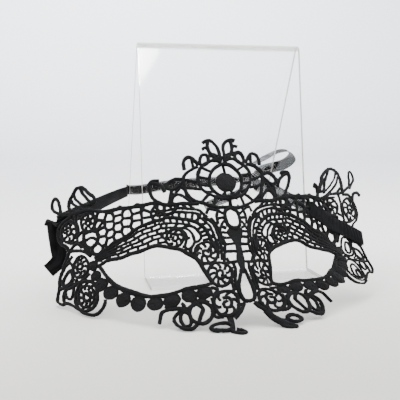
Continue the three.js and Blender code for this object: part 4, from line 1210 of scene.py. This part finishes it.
@dataclass
class Ribbons:
    """The two tying ribbons, their knot, and the loop and the tail of the bow.

    The left ribbon's hanging end and the bow are rows of places, as shares of a named length, each with
    the way that the ribbon's width points there.
    """

    stand: Stand
    width: float = 10.0
    thickness: float = 0.35
    gap: float = 0.3
    wrap_room: float = 2.0
    sewn_off: float = -1.55
    left_seam_out: tuple[float, ...] = (110.0, 116.0, 122.0)
    right_seam_out: tuple[float, ...] = (108.0, 118.0, 127.0)
    left_seam_up: float = 77.5
    right_seam_up: float = 50.0
    height: float = 60.0
    wrap_drop: float = 7.0
    wrap_rise: float = 2.2
    edge_room: float = 0.5
    bulge: float = 2.0
    bulge_fall: float = -0.3
    cross_share: float = 0.4
    cross_drop: float = 2.2
    cross_off: float = 1.1
    under_drop: float = 2.0
    under_off: float = 0.8
    knot_side: float = 42.0
    knot_size: tuple[float, float, float] = (9.0, 12.0, 5.0)
    knot_fold: float = 0.25
    knot_folds: float = 2.2
    knot_slant: float = 2.5
    knot_waist: float = 0.12
    reach: float = 42.0
    flap_length: float = 32.0
    step: float = 0.9
    columns: int = 16
    pinch_start: float = 13.0
    pinch_end: float = 7.0
    pleats: float = 2.5
    pleat_height: float = 1.1
    sway_height: float = 0.18
    sway_step: float = 9.0
    sway_begin: float = 1.3
    sway_across: float = 3.0
    creases: float = 1.4
    crease_step: float = 6.0
    gather_step: float = 3.7
    gather_slant: float = 1.2
    front_off: float = 2.0
    front_lean: float = 0.23
    front_line: tuple[Row, ...] = (
        (65.0, 61.6), (76.0, 58.3), (84.0, 55.6), (92.0, 54.0), (102.0, 51.5), (112.0, 50.0), (121.5, 48.8),
    )  # fmt: skip
    satin: bpy.types.Material = field(init=False)

    def __post_init__(self) -> None:
        """Makes the finish that every ribbon piece shares."""
        self.satin = RIBBON_SATIN.make()

    def _ribbon(
        self,
        name: str,
        path: Path,
        node: str,
        pinch: tuple[float, float] = (0.0, 0.0),
        cup: float = 0.25,
        crease: float = 0.12,
        gather: float = 0.0,
    ) -> None:
        """Makes one strip of ribbon along a path.

        Args:
            name: The piece's name.
            path: Where it runs.
            node: The CAD node that it stands for.
            pinch: How far it is gathered at its start and at its end, as shares of its width.
            cup: How far its middle stands proud of its edges, in millimetres.
            crease: How high its long creases stand, in millimetres.
            gather: How high the gathers across it stand, in millimetres.
        """
        centre, wide = path.line(self.step)
        spans = np.linalg.norm(np.diff(centre, axis=0), axis=1)
        runs = np.concatenate([[0], np.cumsum(spans)])
        rows = len(centre) - 1
        bpy.ops.object.select_all(action="DESELECT")
        bpy.ops.mesh.primitive_grid_add(x_subdivisions=self.columns, y_subdivisions=rows, size=1)
        strip = bpy.context.view_layer.objects.active
        strip.name = name
        flat = vertices_of(strip)
        share = flat[:, 0]
        spot = np.rint((flat[:, 1] + 0.5) * rows).astype(int)
        along = np.gradient(centre, axis=0)
        normal = np.cross(along, wide)
        normal /= np.linalg.norm(normal, axis=1)[:, None]
        run = runs[spot]
        near = pinch[0] * np.exp(-((run / self.pinch_start) ** 2))
        near = near + pinch[1] * np.exp(-(((runs[-1] - run) / self.pinch_end) ** 2))
        reach = share * self.width * (1 - near)
        pleat = near * self.pleat_height * np.cos(share * math.tau * self.pleats)
        swing = np.sin(run / self.sway_step + self.sway_begin)
        sway = self.sway_height * swing * np.cos(share * self.sway_across)
        fold = crease * np.cos(share * math.tau * self.creases + run / self.crease_step)
        ruffle = gather * np.cos(math.tau * run / self.gather_step + self.gather_slant * share)
        lift = cup * (1 - 4 * share**2) + pleat + sway + fold + ruffle
        placed = centre[spot] + wide[spot] * reach[:, None] + normal[spot] * lift[:, None]
        set_vertices(strip, placed * MM)
        set_uv(strip, np.stack([run, share * self.width], axis=1))
        wall = strip.modifiers.new("thickness", "SOLIDIFY")
        wall.thickness = self.thickness * MM
        wall.offset = 0
        select_only(strip)
        bpy.ops.object.modifier_apply(modifier=wall.name)
        bpy.ops.object.shade_smooth_by_angle(angle=math.radians(60))
        dress(strip, self.satin, node)

    def _near_knot(self, side: float, rise: float, off: float) -> Vector:
        """Finds a place by the knot: sideways, up the leg's slope, and off its face."""
        start = self.stand.on_leg(self.knot_side + side, self.height, off)
        return start + self.stand.slope * rise

    def _sewn(self, side: int, up: float) -> Path:
        """Starts a path with the stretch sewn behind the lace's outer end."""
        path = Path()
        for out in self.left_seam_out if side < 0 else self.right_seam_out:
            rise = FORM.at(side * out, up + 1, 0) - FORM.at(side * out, up - 1, 0)
            path.add(FORM.at(side * out, up, self.sewn_off), rise)
        return path

    def _to_leg(self, path: Path, side: int) -> None:
        """Runs a path on to the leg's upright edge and round it."""
        level = self.height - self.wrap_drop + self.wrap_rise
        tilt = math.sin(math.radians(self.stand.leg_splay_deg))
        start, start_wide = path.rows[-1]
        edge = self.stand.panel_width / 2
        sheet = self.stand.sheet
        end = self.stand.on_leg(side * edge, level - sheet * tilt, 0)
        swell = Vector((side * self.bulge, 0, 0 if side > 0 else self.bulge_fall * self.bulge))
        for share in (0.2, 0.5, 0.82):
            place = start.lerp(end, share) + swell * math.sin(math.pi * share**2)
            path.add(place, start_wide.lerp(self.stand.slope, share**2.5))
        flat_off = self.edge_room + self.gap
        beyond = flat_off + self.wrap_room
        for past, off in (
            (beyond * 0.8, -sheet - 2 * self.wrap_room),
            (beyond * 0.9, -sheet / 2),
            (beyond * 0.75, beyond * 0.75),
            (-sheet / 2, beyond),
            (-4 * self.wrap_room, flat_off + 3 * self.gap),
        ):
            place = self.stand.on_leg(side * (edge + past), level - (sheet + off) * tilt, off)
            path.add(place, self.stand.slope)

    def _around_knot(self, rows: Sequence[tuple[float, ...]]) -> Path:
        """Makes a path from rows of side, rise, off, and the width's across, along and away."""
        path = Path()
        for side, rise, off, across, along, away in rows:
            place = self._near_knot(side * self.reach, rise * self.reach, off * self.width)
            path.add(place, Vector((across, 0, 0)) + self.stand.slope * along + self.stand.off_leg * away)
        return path

    def left(self) -> None:
        """Makes the left ribbon, from its seam to the knot, and its hanging end."""
        slope = self.stand.slope
        path = self._sewn(-1, self.left_seam_up)
        hung = path.rows[-1][0]
        self._to_leg(path, -1)
        across = -self.stand.panel_width / 2 * self.cross_share
        path.add(self.stand.on_leg(across, self.height - self.cross_drop, self.cross_off), slope)
        path.add(self._near_knot(-self.knot_size[0] / 2 - self.gap, 0, self.knot_size[2] / 2), slope)
        self._ribbon("ribbon_left_run", path, "ribbon_left", pinch=(0.6, 0.45))
        flap = Path()
        for place, wide in (
            ((-0.08, 0.04, 0.02), (0.94, -0.3, 0.1)),
            ((-0.05, 0.08, -0.28), (0.95, -0.3, 0)),
            ((0, 0.1, -0.55), (0.97, -0.25, -0.1)),
            ((0.03, 0.06, -0.76), (0.9, -0.2, -0.4)),
            ((-0.1, 0.02, -0.92), (0.66, 0.1, -0.74)),
            ((-0.2, 0, -1), (0.6, 0.15, -0.78)),
        ):
            flap.add(Vector(place) * self.flap_length + hung, Vector(wide))
        self._ribbon("ribbon_left_end", flap, "ribbon_left", pinch=(0.1, 0.0), cup=0.5, crease=0.7)

    def right(self) -> None:
        """Makes the right ribbon, from its seam to the knot, and its end turned over in front of the wing."""
        path = self._sewn(1, self.right_seam_up)
        self._to_leg(path, 1)
        off = self.under_off + 4 * self.gap
        for past in (self.knot_size[2], 0.0):
            place = self._near_knot(self.knot_size[0] / 2 + self.gap + past, -self.under_drop, off)
            path.add(place, self.stand.slope)
        self._ribbon("ribbon_right_run", path, "ribbon_right", pinch=(0.1, 0.4))
        band = Path()
        for out, up in self.front_line:
            above = FORM.at(out + self.front_lean, up + 1, self.front_off)
            below = FORM.at(out - self.front_lean, up - 1, self.front_off)
            band.add(FORM.at(out, up, self.front_off), above - below)
        self._ribbon("ribbon_right_end", band, "ribbon_right", cup=0.3, gather=0.35)

    def bow(self) -> None:
        """Makes the bow's loop and its tail."""
        first = (self.knot_size[0] / 2 + 3 * self.gap) / self.reach
        loop = self._around_knot(
            (
                (first, 0.07, 0.4, 0, 1, 0),
                (first + 0.07, 0.08, 0.42, 0, 1, 0.1),
                (0.34, 0.19, 0.56, 0, 0.8, 0.5),
                (0.62, 0.24, 0.7, -0.1, 0.6, 0.8),
                (0.88, 0.33, 0.75, -0.3, 0.5, 0.8),
                (1, 0.49, 0.75, -0.4, 0.2, 0.9),
                (0.88, 0.65, 0.75, -0.1, -0.3, 1),
                (0.66, 0.63, 0.8, 0.1, -0.3, 1),
                (0.42, 0.47, 0.9, 0.1, -0.2, 1),
                (0.14, 0.27, 1, 0.2, 0, 1),
            )
        )
        self._ribbon("bow_loop_fold", loop, "bow_loop", pinch=(0.35, 0.35))
        start = (self.knot_size[1] / 2 + 2 * self.gap) / self.reach
        tail = self._around_knot(
            (
                (0.01, -start - 0.01, 0.26, 1, 0, 0),
                (0, -start - 0.07, 0.24, 1, -0.1, 0),
                (-0.12, -0.34, 0.2, 0.8, -0.4, 0),
                (-0.36, -0.46, 0.14, 0.5, -0.8, 0),
                (-0.6, -0.56, 0.14, 0.5, -0.8, 0),
                (-0.84, -0.68, 0.2, 0.5, -0.8, 0.2),
            )
        )
        self._ribbon("bow_tail_end", tail, "bow_tail", pinch=(0.35, 0.0))

    def knot(self) -> None:
        """Makes the knot: a pillow of ribbon wrapped round the crossing, with its folds."""
        bpy.ops.object.select_all(action="DESELECT")
        bpy.ops.mesh.primitive_cube_add(size=1)
        knot = bpy.context.view_layer.objects.active
        knot.name = "bow_knot_wrap"
        bpy.ops.object.mode_set(mode="EDIT")
        bpy.ops.mesh.select_all(action="SELECT")
        bpy.ops.mesh.subdivide(number_cuts=3, smoothness=0.0)
        bpy.ops.object.mode_set(mode="OBJECT")
        soft = knot.modifiers.new("soft", "SUBSURF")
        soft.levels = soft.render_levels = 3
        bpy.ops.object.modifier_apply(modifier=soft.name)
        cube = vertices_of(knot)
        wide, tall, deep = self.knot_size
        turns = cube[:, 0] * math.tau * self.knot_folds + cube[:, 1] * self.knot_slant
        fold = self.knot_fold * np.cos(turns)
        waist = 1 - self.knot_waist * np.cos(cube[:, 1] * math.pi) ** 2
        stand = self.stand
        across, up, off = Vector((1, 0, 0)), stand.slope, stand.off_leg
        size = np.stack([cube[:, 0] * wide * waist, cube[:, 1] * tall, cube[:, 2] * deep], axis=1)
        size[:, 2] += np.sign(cube[:, 2]) * fold * np.abs(cube[:, 2])
        placed = np.array(self._near_knot(0, 0, deep / 2 + self.gap)) + size @ np.array([across, up, off])
        set_vertices(knot, placed * MM)
        set_uv(knot, size[:, [1, 0]])
        select_only(knot)
        bpy.ops.object.shade_smooth()
        dress(knot, self.satin, "bow_knot")

    def build(self) -> None:
        """Builds every ribbon piece."""
        self.left()
        self.right()
        self.bow()
        self.knot()


@dataclass
class Studio:
    """A plain pale floor that curves up into its backdrop, soft light, and the photograph's view. Metres."""

    camera_at: tuple[float, float, float] = (-0.12354, -0.45012, 0.11615)
    camera_down_deg: float = 7.01
    camera_turn_deg: float = -12.31
    lens: float = 58.5
    sensor: float = 36.0
    floor_width: float = 6.0
    floor_length: float = 5.0
    floor_near: float = -2.0
    floor_rows: int = 60
    bend_start: float = 0.5
    bend_radius: float = 0.9
    tone_from: float = -0.2
    tone_to: float = 1.3
    # Painted light and shade on the paper: darker near the viewer, a slight dip further back, and brightest
    # up the backdrop, standing in for how the lamps fall on it.
    painted_light_tones: tuple[tuple[float, str], ...] = (
        (0.0, "a9a7a0"),
        (0.2, "d4d1ce"),
        (0.65, "c3c4c8"),
        (1.0, "f8fbff"),
    )
    paper_roughness: float = 0.75
    world_colour: str = "f1f5fa"
    world_strength: float = 1.75
    window_turn_deg: float = -33.5

    def camera(self) -> None:
        """Sets the camera for a 400 by 400 frame."""
        data = bpy.data.cameras.new("view")
        data.lens, data.sensor_width = self.lens, self.sensor
        camera = bpy.data.objects.new("view", data)
        camera.location = self.camera_at
        tilt, turn = math.radians(90 - self.camera_down_deg), math.radians(self.camera_turn_deg)
        camera.rotation_euler = (tilt, 0, turn)
        bpy.context.scene.collection.objects.link(camera)
        bpy.context.scene.camera = camera

    def _paper(self, tree: bpy.types.NodeTree, place: bpy.types.Node) -> bpy.types.Node:
        """Adds the nodes of matt backdrop paper, with painted light and shade in its colour: darker near the
        viewer, a slight dip further back, and brightest up the backdrop.

        Args:
            tree: The material's node tree.
            place: Its texture coordinate node.

        Returns:
            The shader.
        """
        depth = add_node(tree, "ShaderNodeSeparateXYZ", {"Vector": place.outputs["Object"]}).outputs["Y"]
        span = {"Value": depth, "From Min": self.tone_from, "From Max": self.tone_to}
        share = add_node(tree, "ShaderNodeMapRange", span).outputs["Result"]
        tone = add_node(tree, "ShaderNodeValToRGB", {"Fac": share})
        ramp(tone, self.painted_light_tones)
        paper = {"Base Color": tone.outputs["Color"], "Roughness": self.paper_roughness}
        return add_node(tree, "ShaderNodeBsdfPrincipled", paper)

    def floor(self) -> None:
        """Makes the floor and the backdrop as one sheet with a wide bend."""
        bpy.ops.object.select_all(action="DESELECT")
        bpy.ops.mesh.primitive_grid_add(x_subdivisions=2, y_subdivisions=self.floor_rows, size=1)
        sheet = bpy.context.view_layer.objects.active
        sheet.name = "studio_floor"
        flat = vertices_of(sheet)
        run = (flat[:, 1] + 0.5) * self.floor_length + self.floor_near
        past = np.clip((run - self.bend_start) / self.bend_radius, 0, math.pi / 2)
        beyond = np.maximum(run - self.bend_start - self.bend_radius * math.pi / 2, 0)
        away = np.minimum(run, self.bend_start) + self.bend_radius * np.sin(past)
        height = self.bend_radius * (1 - np.cos(past)) + beyond
        set_vertices(sheet, np.stack([flat[:, 0] * self.floor_width, away, height], axis=1))
        sheet.data.materials.append(node_material("matt_paper_backdrop", self._paper))
        select_only(sheet)
        bpy.ops.object.shade_smooth()

    def lights(self) -> None:
        """Sets a pale world, three soft lights, one for the backdrop, and a small window light.

        The window light is there for its reflection in the clear panel, and lights nothing matt.
        """
        world = bpy.data.worlds.new("studio")
        world.use_nodes = True
        back = world.node_tree.nodes["Background"]
        back.inputs["Color"].default_value = linear(self.world_colour)
        back.inputs["Strength"].default_value = self.world_strength
        bpy.context.scene.world = world
        stage = (0.0, 0.0, 0.05)
        for name, at, aim, size, power in (
            ("light_top", (0.0, -0.1, 1.1), stage, 1.2, 27.0),
            ("light_left", (-0.9, -0.7, 0.7), stage, 0.8, 14.0),
            ("light_right", (0.9, -0.6, 0.6), stage, 0.8, 10.0),
            ("light_backdrop", (0.0, 0.35, 1.1), (0.0, 1.35, 0.5), 1.0, 26.0),
            ("light_window", (0.109, -1.5, 0.812), stage, 0.15, 38.0),
        ):
            data = bpy.data.lights.new(name, "AREA")
            data.size, data.energy = size, power
            light = bpy.data.objects.new(name, data)
            light.location = at
            facing = (Vector(aim) - Vector(at)).to_track_quat("-Z", "Y")
            if name == "light_window":
                facing = facing @ Quaternion((0, 0, 1), math.radians(self.window_turn_deg))
                light.visible_diffuse = False
            light.rotation_euler = facing.to_euler()
            bpy.context.scene.collection.objects.link(light)

    def build(self) -> None:
        """Builds the camera, the floor and the lights."""
        self.camera()
        self.floor()
        self.lights()


def main() -> None:
    """Builds the scene in order."""
    logging.basicConfig(level=logging.INFO, format="%(name)s: %(message)s")
    Studio().build()
    stand = Stand()
    stand.build()
    Lace(LaceChart().draw()).build()
    Ribbons(stand).build()


if __name__ == "__main__":
    main()
